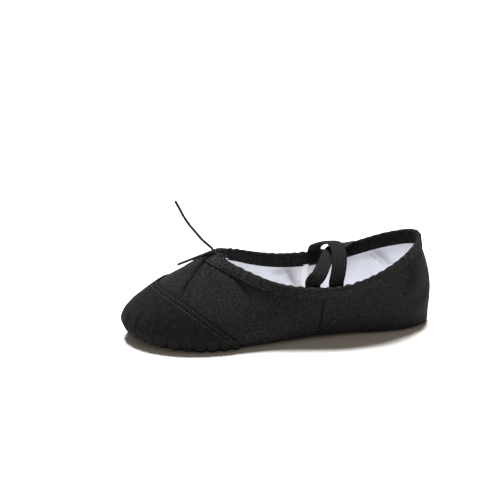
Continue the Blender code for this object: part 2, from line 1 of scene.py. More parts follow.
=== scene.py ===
"""A black canvas ballet slipper with a suede toe cap, white lining, crossed elastics and a drawstring.

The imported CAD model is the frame. The fabric layers repeat the CAD's loft of the last in a fine
grid, and add what cloth does: creases, gathers, pleats, seams and stitches. Lengths are in metres.
"""
import math
import bpy
import numpy as np
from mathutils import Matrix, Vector


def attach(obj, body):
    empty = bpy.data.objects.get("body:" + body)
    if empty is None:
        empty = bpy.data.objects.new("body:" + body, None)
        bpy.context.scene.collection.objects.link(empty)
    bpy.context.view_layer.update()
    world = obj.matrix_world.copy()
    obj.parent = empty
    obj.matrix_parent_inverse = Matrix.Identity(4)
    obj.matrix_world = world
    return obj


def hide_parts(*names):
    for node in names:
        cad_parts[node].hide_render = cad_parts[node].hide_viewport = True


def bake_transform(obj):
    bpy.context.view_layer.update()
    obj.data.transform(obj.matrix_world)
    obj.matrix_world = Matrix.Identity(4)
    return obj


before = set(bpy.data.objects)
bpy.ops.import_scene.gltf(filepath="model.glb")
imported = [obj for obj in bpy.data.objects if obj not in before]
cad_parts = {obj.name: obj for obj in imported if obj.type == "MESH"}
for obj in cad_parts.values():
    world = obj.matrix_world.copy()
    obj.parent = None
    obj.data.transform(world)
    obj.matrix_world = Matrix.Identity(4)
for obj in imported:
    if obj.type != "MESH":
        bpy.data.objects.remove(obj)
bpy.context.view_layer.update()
MM = 0.001

# ---------------------------------------------------------------- the last, as in the CAD

LENGTH_SHIFT = -111.8
PULL = 10                     # the one column of the table that is a share, not a length
# One rib per row, in mm: feather edge x y z, topline x y z, then the bulge between them
LAST = [
    (219.0,  0.0, 6.0, 157.5,  0.0, 57.0, 8, 9, 1, 17.5, 0.60, 14),
    (211.0, 17.0, 5.5, 156.5,  3.5, 57.0, 8, 9, 1, 17.5, 0.60, 14),
    (192.0, 29.0, 4.0, 152.0, 10.0, 57.0, 7, 8, 2, 17.0, 0.60, 13),
    (168.0, 34.0, 2.5, 140.0, 19.0, 53.5, 6, 8, 4, 16.0, 0.50, 12),
    (138.0, 32.0, 2.5, 122.0, 28.5, 47.0, 6, 8, 6, 16.0, 0.35, 11),
    (102.0, 27.0, 3.5,  97.0, 34.0, 42.5, 5, 9, 6, 22.0, 0.20,  9),
    (67.0,  23.5, 3.5,  67.0, 36.0, 44.0, 5, 9, 6, 26.0, 0.10,  9),
    (35.0,  22.0, 2.0,  38.0, 29.5, 54.0, 5, 9, 6, 30.0, 0.00, 10),
    (13.0,  15.5, 2.0,  21.5, 19.0, 61.5, 5, 9, 6, 34.0, 0.00, 12),
    (6.0,    8.0, 2.0,  14.0, 10.0, 65.3, 5, 9, 6, 36.0, 0.00, 12),
    (4.0,    0.0, 2.0,  11.5,  0.0, 66.8, 5, 9, 6, 36.0, 0.00, 12),
]
# Under the edge of the sole the upper turns in: how far inward and how far down, at two points
TURN_IN = (2.6 * MM, 0.95 * MM), (6.0 * MM, 0.85 * MM)
NUDGE = 1e-4                  # a small step of s or t, to find directions by

# Places on the last. s goes once round it, from the toe along the left side; t goes up the wall.
SEAM_S = 0.304                # the side seam
SEAMS = (SEAM_S, -SEAM_S, 0.5, -0.5)
SEAM_GAP = 0.0003             # half the gap between two panels at a seam
CAP_S = 0.187                 # the toe cap's corner
CAP_TOP, CAP_CORNER = 0.695, 0.06
TOE_TUCK = 2.3 * MM           # the toe is rounded off below by this much, within this share of s
TOE_TUCK_S = 0.085
GIRTH = 460 * MM              # once round the wall, near enough to measure seams by
ONCE_ROUND = 500 * MM         # once round the feather edge, near enough to space gathers by
WALL_HEIGHT = 55 * MM

# Layers, as distances from the loft; positive is outward
CANVAS = (-0.8 * MM, 0.0)
LINING = (-1.6 * MM, -1.1 * MM)
CAP = (0.3 * MM, 1.1 * MM)
TAPE = (-2.2 * MM, -1.75 * MM)
CASING_OUT = (0.25 * MM, 0.95 * MM)
CASING_IN = (-2.6 * MM, -1.9 * MM)
CASING_OUT_DEEP = 7.5 * MM
CASING_IN_DEEP = 10.0 * MM

STRAP_WIDE = 10.0 * MM
STRAP_THICK = 1.0 * MM
STRAP_RIBS = 6
RIB_PITCH = STRAP_WIDE / STRAP_RIBS


def unit(vectors):
    return vectors / np.linalg.norm(vectors, axis=-1)[..., None]


def run_length(points):
    """Length along a line, at each of its points."""
    return np.pad(np.cumsum(np.linalg.norm(np.diff(points, axis=0), axis=1)), (1, 0))


def centred(s):
    """s between -0.5 and 0.5, with the toe at 0."""
    return (np.asarray(s) + 0.5) % 1.0 - 0.5


def last_table():
    """The ribs of both sides, in metres, and the share of the way round at which each one stands."""
    rows = np.array(LAST, dtype=float)
    rows[:, [0, 3]] += LENGTH_SHIFT
    rows[:, np.arange(rows.shape[1]) != PULL] *= MM
    mirror = rows[-2:0:-1].copy()
    mirror[:, [1, 4]] *= -1
    half = run_length(rows[:, :2])
    half = half / half[-1] * 0.5
    return np.concatenate([half, 1 - half[-2:0:-1]]), np.vstack([rows, mirror])


KNOTS, TABLE = last_table()


def spline_curvature():
    """Second derivatives of the closed cubic spline through the table's rows."""
    count = len(KNOTS)
    span = np.diff(np.concatenate([KNOTS, [KNOTS[0] + 1.0]]))
    slope = (np.roll(TABLE, -1, axis=0) - TABLE) / span[:, None]
    system = np.zeros((count, count))
    right = np.zeros_like(TABLE)
    for i in range(count):
        before = (i - 1) % count
        system[i, before] += span[before] / 6
        system[i, i] += (span[before] + span[i]) / 3
        system[i, (i + 1) % count] += span[i] / 6
        right[i] = slope[i] - slope[before]
    return span, np.linalg.solve(system, right)


SPAN, CURVATURE = spline_curvature()


def table_at(s):
    s = np.mod(s, 1.0)
    i = np.clip(np.searchsorted(KNOTS, s, side="right") - 1, 0, len(KNOTS) - 1)
    j = (i + 1) % len(KNOTS)
    h = SPAN[i][:, None]
    b = (s - KNOTS[i])[:, None] / h
    a = 1 - b
    bend = (a ** 3 - a) * CURVATURE[i] + (b ** 3 - b) * CURVATURE[j]
    return a * TABLE[i] + b * TABLE[j] + bend * h ** 2 / 6


def bezier(u, control):
    degree = len(control) - 1
    return sum(math.comb(degree, k) * u ** k * (1 - u) ** (degree - k) * c for k, c in enumerate(control))


def loft(s, t):
    """Points of the last. t runs from the feather edge (0) to the topline (1), and from 0 down to
    -1 under the edge of the sole, where the upper is turned in."""
    s, t = np.broadcast_arrays(np.asarray(s, float), np.asarray(t, float))
    shape = s.shape
    s, t = s.ravel(), t.ravel()
    row = table_at(s)
    along = (table_at(s + NUDGE) - table_at(s - NUDGE))[:, :2]
    out = unit(np.stack([along[:, 1], -along[:, 0], np.zeros(len(s))], axis=1))
    foot, top = row[:, 0:3], row[:, 3:6]
    out1, rise1, out2, rise2, pull, drop = (row[:, [k]] for k in range(6, 12))
    up = np.array([[0, 0, 1.0]])
    inward = (foot - top) * [1, 1, 0]
    first = out * out1 + up * rise1
    wall = bezier(np.clip(t, 0, 1)[:, None],
                  [foot, foot + first, foot + out * out2 + up * rise2, top + inward * pull - up * drop, top])
    turn = [foot - out * far - up * down for far, down in TURN_IN]
    under = bezier(np.clip(-t, 0, 1)[:, None], [foot, foot - unit(first) * MM, *turn])
    return np.where(t[:, None] < 0, under, wall).reshape(shape + (3,))


def grid_normals(points):
    """Outward normals of a grid of points whose rows go round and columns go up."""
    return unit(np.cross(np.gradient(points, axis=0), np.gradient(points, axis=1)))


def normals(s, t):
    """Outward normals of the last."""
    t = np.clip(t, NUDGE, 1 - NUDGE)
    return unit(np.cross(loft(s + NUDGE, t) - loft(s - NUDGE, t), loft(s, t + NUDGE) - loft(s, t - NUDGE)))


def depth_to_t(s, depth):
    """The t that lies a given length below the topline, along each rib."""
    fine = np.linspace(1, 0, 161)
    s = np.atleast_1d(s)
    ribs = loft(s[:, None], fine[None, :])
    depth = np.broadcast_to(depth, s.shape)
    return np.array([np.interp(d, run_length(rib), fine) for d, rib in zip(depth, ribs)])


def cap_edge(s):
    """t of the toe cap's upper edge."""
    share = np.clip(np.abs(centred(s)) / CAP_S, 0, 1)
    return CAP_CORNER + (CAP_TOP - CAP_CORNER) * (1 - share ** 2.5) ** 0.65


def rim_length_table():
    s = np.linspace(-0.5, 0.5, 1001)
    length = run_length(loft(s, 1.0))
    return s, length - np.interp(0, s, length)


RIM_S, RIM_LENGTH = rim_length_table()


def rim_arc(s):
    """Length along the topline from the throat, negative on the right."""
    return np.interp(centred(s), RIM_S, RIM_LENGTH)


# ---------------------------------------------------------------- soft shapes

HASH = np.array([127.1, 311.7, 74.7])
HASH_SCALE = 43758.5453


def noise(points, size, seed):
    """Smooth noise between -1 and 1 with features about as large as size."""
    q = points / size + seed * 3.17
    cell = np.floor(q)
    f = q - cell
    f = f * f * f * (f * (f * 6 - 15) + 10)
    total = np.zeros(points.shape[:-1])
    for corner in range(8):
        bits = np.array([corner & 1, corner >> 1 & 1, corner >> 2 & 1])
        value = np.sin((cell + bits) @ HASH + seed * 17.3) * HASH_SCALE
        weight = np.prod(np.where(bits, f, 1 - f), axis=-1)
        total += weight * ((value - np.floor(value)) * 2 - 1)
    return total


def line_noise(length, size, seed):
    """Smooth noise along one line, from the length at each of its points."""
    length = np.asarray(length, float)
    return noise(np.stack([length, length * 0, length * 0], axis=-1), size, seed)


def gather_wave(length, pitch, wander, size, seed, phase=0.0):
    """Uneven gathers along a line: 0 in each valley and 1 on each crown."""
    return np.abs(np.sin(math.pi * (length / pitch + wander * line_noise(length, size, seed) + phase)))


def step_up(x, low, high):
    u = np.clip((x - low) / (high - low), 0, 1)
    return u * u * (3 - 2 * u)


def bell(distance, width):
    """1 at no distance, and next to nothing past twice the width."""
    return np.exp(-(distance / width) ** 2)


def toe_tuck(s):
    """How far the toe is drawn in where it is rounded off below."""
    return TOE_TUCK * bell(s, TOE_TUCK_S)


def middle(share):
    """1 half-way along a route, and next to nothing at its ends."""
    return np.sin(math.pi * np.clip(share, 0.02, 0.98))


def route_distance(points, route):
    """Distance of points from a polyline, and the share of the way along it."""
    best = np.full(points.shape[:-1], 1e9)
    share = np.zeros(points.shape[:-1])
    count = len(route) - 1
    for k in range(count):
        a, b = route[k], route[k + 1]
        u = np.clip(((points - a) @ (b - a)) / ((b - a) @ (b - a)), 0, 1)
        d = np.linalg.norm(points - a - u[..., None] * (b - a), axis=-1)
        closer = d < best
        best = np.where(closer, d, best)
        share = np.where(closer, (k + u) / count, share)
    return best, share


def on_last(route):
    s, t = np.array(route).T
    return loft(s, t)


# The crease that the drawstring pulls into the vamp, as (s, t) down the left side, and on the right
CREASE_LEFT = [(0.012, 0.985), (0.034, 0.945), (0.053, 0.880), (0.063, 0.808), (0.070, 0.746),
               (0.076, 0.688), (0.080, 0.630)]
CREASE_RIGHT = [(0.970, 0.945), (0.950, 0.890), (0.935, 0.820), (0.925, 0.760)]
# The gathers beside the throat, where the casing's fullness runs down into the vamp
GATHER_LEFT = [(0.112, 0.930), (0.136, 0.900), (0.150, 0.868), (0.162, 0.832), (0.173, 0.785),
               (0.185, 0.725)]
GATHER_INNER = [(0.078, 0.915), (0.094, 0.868), (0.106, 0.815), (0.113, 0.765)]
GATHER_RIGHT = [(0.885, 0.925), (0.862, 0.890), (0.846, 0.840), (0.835, 0.780)]
# Each crease with its depth, its width and how much painted shade lies inside it
CREASES = ((CREASE_LEFT, 1.5 * MM, 0.95 * MM, 0.95), (CREASE_RIGHT, 0.9 * MM, 0.95 * MM, 0.6),
           (GATHER_LEFT, 0.85 * MM, 1.9 * MM, 0.40), (GATHER_INNER, 0.5 * MM, 1.6 * MM, 0.25),
           (GATHER_RIGHT, 0.8 * MM, 1.9 * MM, 0.40))
# Folds in the lining: the route, the height, the width and how much painted shade lies on the steep side
LINING_FOLDS = (([(0.735, 0.74), (0.726, 0.56), (0.716, 0.39), (0.705, 0.22)], 3.2 * MM, 5.2 * MM, 0.50),
                ([(0.597, 0.82), (0.578, 0.72), (0.566, 0.62), (0.556, 0.50)], 2.2 * MM, 5.5 * MM, 0.15),
                ([(0.270, 0.72), (0.280, 0.50), (0.292, 0.30)], 1.3 * MM, 4.5 * MM, 0.2),
                ([(0.430, 0.80), (0.442, 0.62), (0.452, 0.45)], 1.2 * MM, 4.5 * MM, 0.2))
# Soft diagonal folds in the quarters, low on the heel and from the heel up to the topline
QUARTER_FOLDS = (([(0.470, 0.86), (0.455, 0.62), (0.430, 0.40)], 0.7 * MM, 5.0 * MM),
                 ([(0.490, 0.46), (0.468, 0.34), (0.440, 0.26)], 0.6 * MM, 4.0 * MM),
                 ([(0.385, 0.80), (0.372, 0.55), (0.365, 0.30)], 0.45 * MM, 5.0 * MM),
                 ([(0.340, 0.80), (0.335, 0.55), (0.338, 0.30)], 0.35 * MM, 4.0 * MM))


def quarter_folds(p):
    """For each fold of both quarters: its side, height and width, the distance of p, and its strength."""
    for side in (1, -1):
        for route, high, wide in QUARTER_FOLDS:
            d, share = route_distance(p, on_last([(side * s, t) for s, t in route]))
            yield side, high, wide, d, middle(share)


def pleats(s, t):
    """Depth of the gathers where the upper turns under the sole: deep round the toe, small behind."""
    edge = s * ONCE_ROUND
    around_toe = 1 - step_up(np.abs(s), 0.15, 0.24)
    reach = 0.055 + 0.105 * around_toe
    turned = np.exp(-np.clip(t, 0, 1) / reach) * (1 - 0.45 * step_up(-t, 0.0, 0.25))
    wave = gather_wave(edge, 8.0 * MM, 0.7, 23 * MM, 8, 0.3)
    uneven = 0.8 + 0.4 * line_noise(edge, 12 * MM, 15)
    at_toe = 2.6 * MM * uneven * (1 - wave ** 0.5) - 0.5 * MM * wave
    behind = 0.45 * MM * (1 - gather_wave(edge, 6.5 * MM, 0.5, 15 * MM, 9) ** 0.6)
    return turned * (around_toe * at_toe + (1 - around_toe) * behind)


def relief(s, t, p):
    """How far the outer fabric stands off the last."""
    s = centred(s)
    wall = step_up(t, 0.02, 0.20)
    r = 0.50 * MM * noise(p, 24 * MM, 1) * wall
    r += 0.22 * MM * noise(p, 10 * MM, 2) * wall
    r += 0.07 * MM * noise(p, 4.5 * MM, 3)
    for route, deep, wide, _ in CREASES:
        d, share = route_distance(p, on_last(route))
        strength = step_up(share, -0.10, 0.05) * (1 - step_up(share, 0.65, 1.0))
        r += strength * deep * (0.45 * bell(d - 2.7 * wide, 1.9 * wide) - bell(d, wide))
    # the casing's gathers run on below it, most near the throat
    arc = rim_arc(s)
    pucker = np.sin(arc / (5.2 * MM) * 2 * math.pi + 1.4 * line_noise(arc, 17 * MM, 5))
    below = (1 - t) * WALL_HEIGHT
    r += (0.16 + 0.22 * bell(arc, 45 * MM)) * MM * pucker * np.exp(-below / (9 * MM))
    for side, high, wide, d, strength in quarter_folds(p):
        r += high * bell(d, wide) * strength * side
    # each seam is a groove between two low ridges
    for seam in SEAMS:
        gap = np.abs(s - seam) * GIRTH
        r += 0.18 * MM * bell(gap - 2.4 * MM, 1.5 * MM) - 0.35 * MM * bell(gap, 0.9 * MM)
    # the toe is rounded off below and a little fuller above that, and the heel's counter is square
    r -= toe_tuck(s) * (1 - step_up(t, -0.02, 0.36)) * (1 - 0.5 * step_up(-t, 0.1, 1.0))
    r += 0.25 * MM * np.exp(-(s / 0.2) ** 4) * (1 - step_up(t, 0.0, 0.2))
    counter = bell(np.abs(s) - 0.5, 0.035) * (1 - step_up(t, 0.0, 0.20)) * step_up(t, -0.5, 0.0)
    return r + 2.3 * MM * counter - pleats(s, t)


def fold_light(s, t, p):
    """How much light reaches each point: little in the creases, seams and gathers."""
    s = centred(s)
    light = 1 - 0.65 * np.clip(pleats(s, t) / MM, 0, 1)
    # painted shade round the heel, all the way up its wall
    light *= 1 - 0.30 * bell(np.abs(s) - 0.5, 0.09)
    # a painted shadow along the toe cap's edge, on the canvas next to it
    light *= 1 - 0.5 * bell(t - cap_edge(s), 0.012) * (np.abs(s) < CAP_S)
    for route, _, wide, dark in CREASES:
        d, share = route_distance(p, on_last(route))
        light *= 1 - dark * bell(d, 0.9 * wide) * (1 - step_up(share, 0.7, 1.0))
    for _, _, wide, d, strength in quarter_folds(p):
        light *= 1 - 0.30 * bell(d - 0.9 * wide, 0.9 * wide) * strength
    for seam in SEAMS:
        light *= 1 - 0.6 * bell(np.abs(s - seam) * GIRTH, 0.7 * MM)
    # a painted shadow along the lower edge of the casing, fainter beside the throat
    below_casing = np.linalg.norm(p - loft(s, 1.0), axis=-1) - (CASING_OUT_DEEP + 0.7 * MM)
    beside_throat = np.exp(-(rim_arc(s) / (34 * MM)) ** 4)
    return light * (1 - (0.35 - 0.22 * beside_throat) * bell(below_casing, 0.8 * MM))


def lining_folds(p):
    """For each fold of the lining: its height, width and painted shade, the distance of p, its strength, and
    how far p is on its soft side: 0 on the steep side, 1 on the soft side."""
    for route, high, wide, dark in LINING_FOLDS:
        line = on_last(route)
        d, share = route_distance(p, line)
        side = np.sign((p - line[0]) @ np.cross(line[-1] - line[0], [0, 1.0, 0]))
        yield high, wide, dark, d, middle(share) ** 0.5, step_up(d * side, -1.5 * MM, 1.5 * MM)


def lining_light(s, t, p):
    """How much light reaches the lining: less on the steep side of each fold."""
    light = 1 - 0.06 * (1 + noise(p, 19 * MM, 41))
    for _, wide, dark, d, strength, soft in lining_folds(p):
        light *= 1 - (dark + (0.04 - dark) * soft) * bell(d - 0.35 * wide, 0.75 * wide) * strength
    return light


def lining_relief(s, t, p):
    """How far the lining moves from its place; soft folds stand into the shoe."""
    below = np.linalg.norm(p - loft(s, 1.0), axis=-1)
    free = step_up(below, 9 * MM, 17 * MM) * step_up(t, 0.0, 0.12)
    r = -0.35 * MM * (1 + noise(p, 17 * MM, 11)) - 0.2 * MM * (1 + noise(p, 7 * MM, 12))
    for high, wide, _, d, strength, soft in lining_folds(p):
        r -= high * bell(d, wide * (0.45 + 1.35 * soft)) * strength
    ripple = 0.05 * MM * (1 + np.sin(rim_arc(s) / (3 * MM)))
    return r * free - ripple + np.minimum(relief(s, t, p), 0)


# ---------------------------------------------------------------- mesh builders

def grid_uv(across, along):
    """UVs of a grid, from a length for each of its columns and one for each of its rows."""
    return np.stack(np.broadcast_arrays(across[None, :], along[:, None]), axis=-1).reshape(-1, 2)


def make_mesh(name, points, quads, uv, others=(), fold=None):
    """A mesh from arrays of points and faces, with a UV for each point. others are faces that aren't
    quads. fold is 1 in the open and falls in the depth of a crease, where little light gets in."""
    mesh = bpy.data.meshes.new(name)
    mesh.from_pydata([tuple(p) for p in points], [], [tuple(map(int, face)) for face in (*quads, *others)])
    layer = mesh.uv_layers.new(name="cloth")
    loops = np.zeros(len(mesh.loops), np.int32)
    mesh.loops.foreach_get("vertex_index", loops)
    layer.data.foreach_set("uv", np.asarray(uv, np.float32)[loops].ravel())
    open_light = np.ones(len(points)) if fold is None else fold
    colours = mesh.color_attributes.new("fold", "FLOAT_COLOR", "POINT")
    rgba = np.stack([open_light] * 3 + [np.ones(len(points))], axis=1).astype(np.float32)
    colours.data.foreach_set("color", rgba.ravel())
    mesh.shade_smooth()
    item = bpy.data.objects.new(name, mesh)
    bpy.context.collection.objects.link(item)
    return item


def grid_quads(rows, cols, start=0, flip=False, around=False):
    i, j = np.meshgrid(np.arange(rows - 1), np.arange(cols if around else cols - 1), indexing="ij")
    a = start + i * cols + j
    d = start + i * cols + (j + 1) % cols
    quads = np.stack([a, a + cols, d + cols, d], axis=-1).reshape(-1, 4)
    return quads[:, ::-1] if flip else quads


def shell(name, outer, inner, uv, fold=None):
    """A closed piece of cloth between two grids of points; the rim between them is rounded."""
    rows, cols = outer.shape[:2]
    count = rows * cols
    ring = ([(i, 0) for i in range(rows)] + [(rows - 1, j) for j in range(1, cols)]
            + [(i, cols - 1) for i in range(rows - 2, -1, -1)] + [(0, j) for j in range(cols - 2, 0, -1)])
    i, j = np.array(ring).T
    ring = i * cols + j
    inset = np.clip(i, 1, rows - 2) * cols + np.clip(j, 1, cols - 2)
    flat_out, flat_in = outer.reshape(-1, 3), inner.reshape(-1, 3)
    centre = (flat_out[ring] + flat_in[ring]) / 2
    away = centre - (flat_out[inset] + flat_in[inset]) / 2
    away /= np.maximum(np.linalg.norm(away, axis=1)[:, None], 1e-9)
    thick = np.linalg.norm(flat_out[ring] - flat_in[ring], axis=1)[:, None]
    bead = centre + away * thick * 0.3
    here = 2 * count + np.arange(len(ring))
    after, ring_after = np.roll(here, -1), np.roll(ring, -1)
    quads = np.concatenate([grid_quads(rows, cols), grid_quads(rows, cols, count, flip=True),
                            np.stack([ring_after, ring, here, after], axis=1),
                            np.stack([after, here, count + ring, count + ring_after], axis=1)])
    flat_uv = uv.reshape(-1, 2)
    if fold is not None:
        fold = np.concatenate([fold.ravel(), fold.ravel(), fold.ravel()[ring]])
    return make_mesh(name, np.concatenate([flat_out, flat_in, bead]), quads,
                     np.concatenate([flat_uv, flat_uv, flat_uv[ring]]), fold=fold)


def cloth_uv(points):
    """Lengths across and along a grid, so that a weave keeps its size."""
    across = np.linalg.norm(np.diff(points, axis=0), axis=2)
    along = np.linalg.norm(np.diff(points, axis=1), axis=2)
    u = np.pad(np.cumsum(across, axis=0), ((1, 0), (0, 0)))
    v = np.pad(np.cumsum(along, axis=1), ((0, 0), (1, 0)))
    return np.stack([u - u[len(u) // 2], v - v[:, -1:]], axis=-1)


def level(t):
    """A panel's edge that keeps one t."""
    return lambda s: np.full(len(s), t)


def below_rim(depth):
    """A panel's edge that keeps one distance from the topline."""
    return lambda s: depth_to_t(s, depth)


def panel(name, s_range, low_edge, high_edge, layer, columns, rows, shape=relief, light=fold_light,
          turned=0, crowd=0.0):
    """A sewn panel of the last between two edges. turned adds rows under the sole, and crowd brings
    the columns closer together in the middle."""
    even = np.linspace(-1, 1, columns)
    even = even * (1 - crowd) + even ** 3 * crowd
    s = (s_range[0] + s_range[1]) / 2 + even * (s_range[1] - s_range[0]) / 2
    low, high = low_edge(s), high_edge(s)
    t = low[:, None] + (high - low)[:, None] * np.linspace(0, 1, rows)[None, :]
    if turned:
        under = np.broadcast_to(-np.linspace(1, 1 / turned, turned), (columns, turned))
        t = np.concatenate([under, t], axis=1)
    s = np.broadcast_to(s[:, None], t.shape)
    base = loft(s, t)
    n = grid_normals(base)
    moved = shape(s, t, base)[..., None]
    return shell(name, base + n * (moved + layer[1]), base + n * (moved + layer[0]), cloth_uv(base),
                 light(s, t, base))


def rings(angle, a, b):
    """A ring of directions round each point of a line, from its two cross directions a and b."""
    return np.cos(angle)[None, :, None] * a[:, None, :] + np.sin(angle)[None, :, None] * b[:, None, :]


def tube(name, points, radius, sides):
    """A round cord with round ends."""
    ways = unit(np.gradient(points, axis=0))
    side = np.array([0.3, 0.9, 0.2])
    across = []
    for way in ways:
        side = unit(side - way * side.dot(way))
        across.append(side)
    length = run_length(points)
    near_end = np.clip(np.minimum(length, length[-1] - length) / radius, 0, 1)
    thick = radius * np.sqrt(np.clip(1 - (1 - near_end) ** 2, 0.02, 1))
    angle = np.linspace(0, 2 * math.pi, sides, endpoint=False)
    grid = points[:, None, :] + rings(angle, np.array(across), np.cross(ways, across)) * thick[:, None, None]
    count = grid.shape[0] * sides
    last = count - sides
    fans = [(count, k, (k + 1) % sides) for k in range(sides)]
    fans += [(count + 1, last + (k + 1) % sides, last + k) for k in range(sides)]
    return make_mesh(name, np.concatenate([grid.reshape(-1, 3), points[:1], points[-1:]]),
                     grid_quads(len(points), sides, around=True, flip=True),
                     np.concatenate([grid_uv(angle * radius, length), [[0, 0], [0, length[-1]]]]), fans)


def smooth_line(points, step):
    """A smooth curve through a few points, read at even steps."""
    points = np.array(points, float)
    ends = np.vstack([2 * points[0] - points[1], points, 2 * points[-1] - points[-2]])
    u = np.linspace(0, 1, 24, endpoint=False)[:, None]
    fine = []
    for i in range(len(points) - 1):
        p0, p1, p2, p3 = ends[i:i + 4]
        fine.append(0.5 * (2 * p1 + (p2 - p0) * u + (2 * p0 - 5 * p1 + 4 * p2 - p3) * u ** 2
                           + (3 * p1 - p0 - 3 * p2 + p3) * u ** 3))
    fine = np.vstack(fine + [points[-1:]])
    length = run_length(fine)
    even = np.linspace(0, length[-1], max(2, round(length[-1] / step) + 1))
    return np.stack([np.interp(even, length, fine[:, k]) for k in range(3)], axis=1)


def stitches(name, lines, radius, pitch=None, gap=0.7 * MM, lift=0.12 * MM):
    """Separate stitches along lines of (points, outward normals), each dipping at its two holes.
    With no pitch, each line is one stitch."""
    points, quads, ends, uvs = [], [], [], []
    taper = np.array([0.45, 0.85, 1, 1, 1, 0.85, 0.45])
    sides, steps = 6, len(taper)
    angle = np.linspace(0, 2 * math.pi, sides, endpoint=False)
    arch = np.sin(np.linspace(0, math.pi, steps)) ** 0.5
    count = 0
    for path, out in lines:
        length = run_length(path)
        starts = np.arange(0.2 * pitch, length[-1] - pitch, pitch) if pitch else [0.0]
        for first in starts:
            at = np.linspace(first, first + pitch - gap if pitch else length[-1], steps)
            centre, n = (np.stack([np.interp(at, length, line[:, k]) for k in range(3)], axis=1)
                         for line in (path, out))
            n = unit(n)
            centre = centre + n * (arch * (lift + radius) - radius)[:, None]
            way = unit(np.gradient(centre, axis=0))
            side = unit(np.cross(way, n))
            ring = rings(angle, side, np.cross(side, way)) * (radius * taper)[:, None, None]
            points.append((centre[:, None, :] + ring).reshape(-1, 3))
            quads.append(grid_quads(steps, sides, count, around=True))
            uvs.append(grid_uv(angle * radius, at))
            after = count + steps * sides
            ends += [range(count, count + sides), range(after - 1, after - sides - 1, -1)]
            count = after
    return make_mesh(name, np.concatenate(points), np.concatenate(quads), np.concatenate(uvs), ends)


# ---------------------------------------------------------------- materials

class Nodes:
    """Short names for building one material's node tree."""

    def __init__(self, name):
        self.material = bpy.data.materials.new(name)
        self.material.use_nodes = True
        self.tree = self.material.node_tree
        self.shader = self.tree.nodes["Principled BSDF"]

    def new(self, kind, **settings):
        node = self.tree.nodes.new(kind)
        for key, value in settings.items():
            setattr(node, key, value)
        return node

    def link(self, source, target):
        if isinstance(source, bpy.types.NodeSocket):
            self.tree.links.new(source, target)
        else:
            target.default_value = source

    def math(self, operation, a, b=0.0):
        node = self.new("ShaderNodeMath", operation=operation)
        for socket, value in zip(node.inputs, (a, b)):
            self.link(value, socket)
        return node.outputs[0]

    def plus(self, a, b):
        return self.math("ADD", a, b)

    def times(self, a, b):
        return self.math("MULTIPLY", a, b)

    def sine(self, a):
        return self.math("SINE", a)

    def uv(self):
        return self.new("ShaderNodeUVMap", uv_map="cloth").outputs["UV"]

    def across_along(self):
        """The two lengths held in the UVs."""
        node = self.new("ShaderNodeSeparateXYZ")
        self.link(self.uv(), node.inputs[0])
        return node.outputs["X"], node.outputs["Y"]

    def stretched(self, scale, turn=0.0):
        """The UVs scaled and turned, for a noise with a direction."""
        node = self.new("ShaderNodeMapping")
        self.link(self.uv(), node.inputs["Vector"])
        node.inputs["Scale"].default_value = scale
        node.inputs["Rotation"].default_value = (0, 0, turn)
        return node.outputs[0]

    def noise(self, vector, scale, detail=2.0, rough=0.5, distortion=0.0):
        node = self.new("ShaderNodeTexNoise")
        self.link(vector, node.inputs["Vector"])
        settings = {"Scale": scale, "Detail": detail, "Roughness": rough, "Distortion": distortion}
        for key, value in settings.items():
            node.inputs[key].default_value = value
        return node.outputs["Fac"]

    def ramp(self, value, low, high, colour_low, colour_high):
        node = self.new("ShaderNodeMapRange")
        self.link(value, node.inputs["Value"])
        node.inputs["From Min"].default_value = low
        node.inputs["From Max"].default_value = high
        return self.mix(node.outputs[0], colour_low, colour_high)

    def mix(self, factor, a, b, blend="MIX"):
        node = self.new("ShaderNodeMix", data_type="RGBA", blend_type=blend)
        self.link(factor, node.inputs["Factor"])
        for value, socket in ((a, node.inputs["A"]), (b, node.inputs["B"])):
            self.link((*value, 1) if isinstance(value, tuple) else value, socket)
        return node.outputs["Result"]

    def darken(self, colour, by):
        return self.mix(1.0, colour, by, "MULTIPLY")

    def in_folds(self, colour):
        """The colour, darker where make_mesh's fold says that little light gets in."""
        return self.darken(colour, self.new("ShaderNodeVertexColor", layer_name="fold").outputs["Color"])

    def bump(self, height, distance, strength=1.0, normal=None):
        node = self.new("ShaderNodeBump")
        self.link(height, node.inputs["Height"])
        node.inputs["Distance"].default_value = distance
        node.inputs["Strength"].default_value = strength
        if normal is not None:
            self.link(normal, node.inputs["Normal"])
        return node.outputs["Normal"]

    def finish(self, colour, roughness, normal, specular, sheen=0.0, sheen_rough=0.5):
        self.link(colour, self.shader.inputs["Base Color"])
        self.link(roughness, self.shader.inputs["Roughness"])
        self.link(normal, self.shader.inputs["Normal"])
        self.shader.inputs["Sheen Weight"].default_value = sheen
        self.shader.inputs["Sheen Roughness"].default_value = sheen_rough
        self.shader.inputs["Sheen Tint"].default_value = (1, 1, 1, 1)
        self.shader.inputs["Specular IOR Level"].default_value = specular
        return self.material


def scaled(level, *tint):
    return tuple(level * c for c in tint)


def grey(level):
    return (level, level, level)


def weave_height(n, pitch):
    """Height of a plain weave, whose yarns pass over and under each other."""
    wobble = n.times(n.math("SUBTRACT", n.noise(n.uv(), 45.0), 0.5), 2.2)
    su, sv = (n.sine(n.plus(n.times(way, math.pi / pitch), wobble)) for way in n.across_along())
    au, av = n.math("ABSOLUTE", su), n.math("ABSOLUTE", sv)
    over = n.plus(n.times(n.times(su, sv), 1.5), 0.5)
    over = n.math("MINIMUM", n.math("MAXIMUM", over, 0.0), 1.0)
    warp_yarn, weft_yarn = (n.times(n.math("POWER", own, 0.6), n.plus(n.times(other, 0.45), 0.55))
                            for own, other in ((au, av), (av, au)))
    picked = n.new("ShaderNodeMix", data_type="FLOAT")
    for key, value in (("Factor", over), ("A", weft_yarn), ("B", warp_yarn)):
        n.link(value, picked.inputs[key])
    return picked.outputs["Result"]


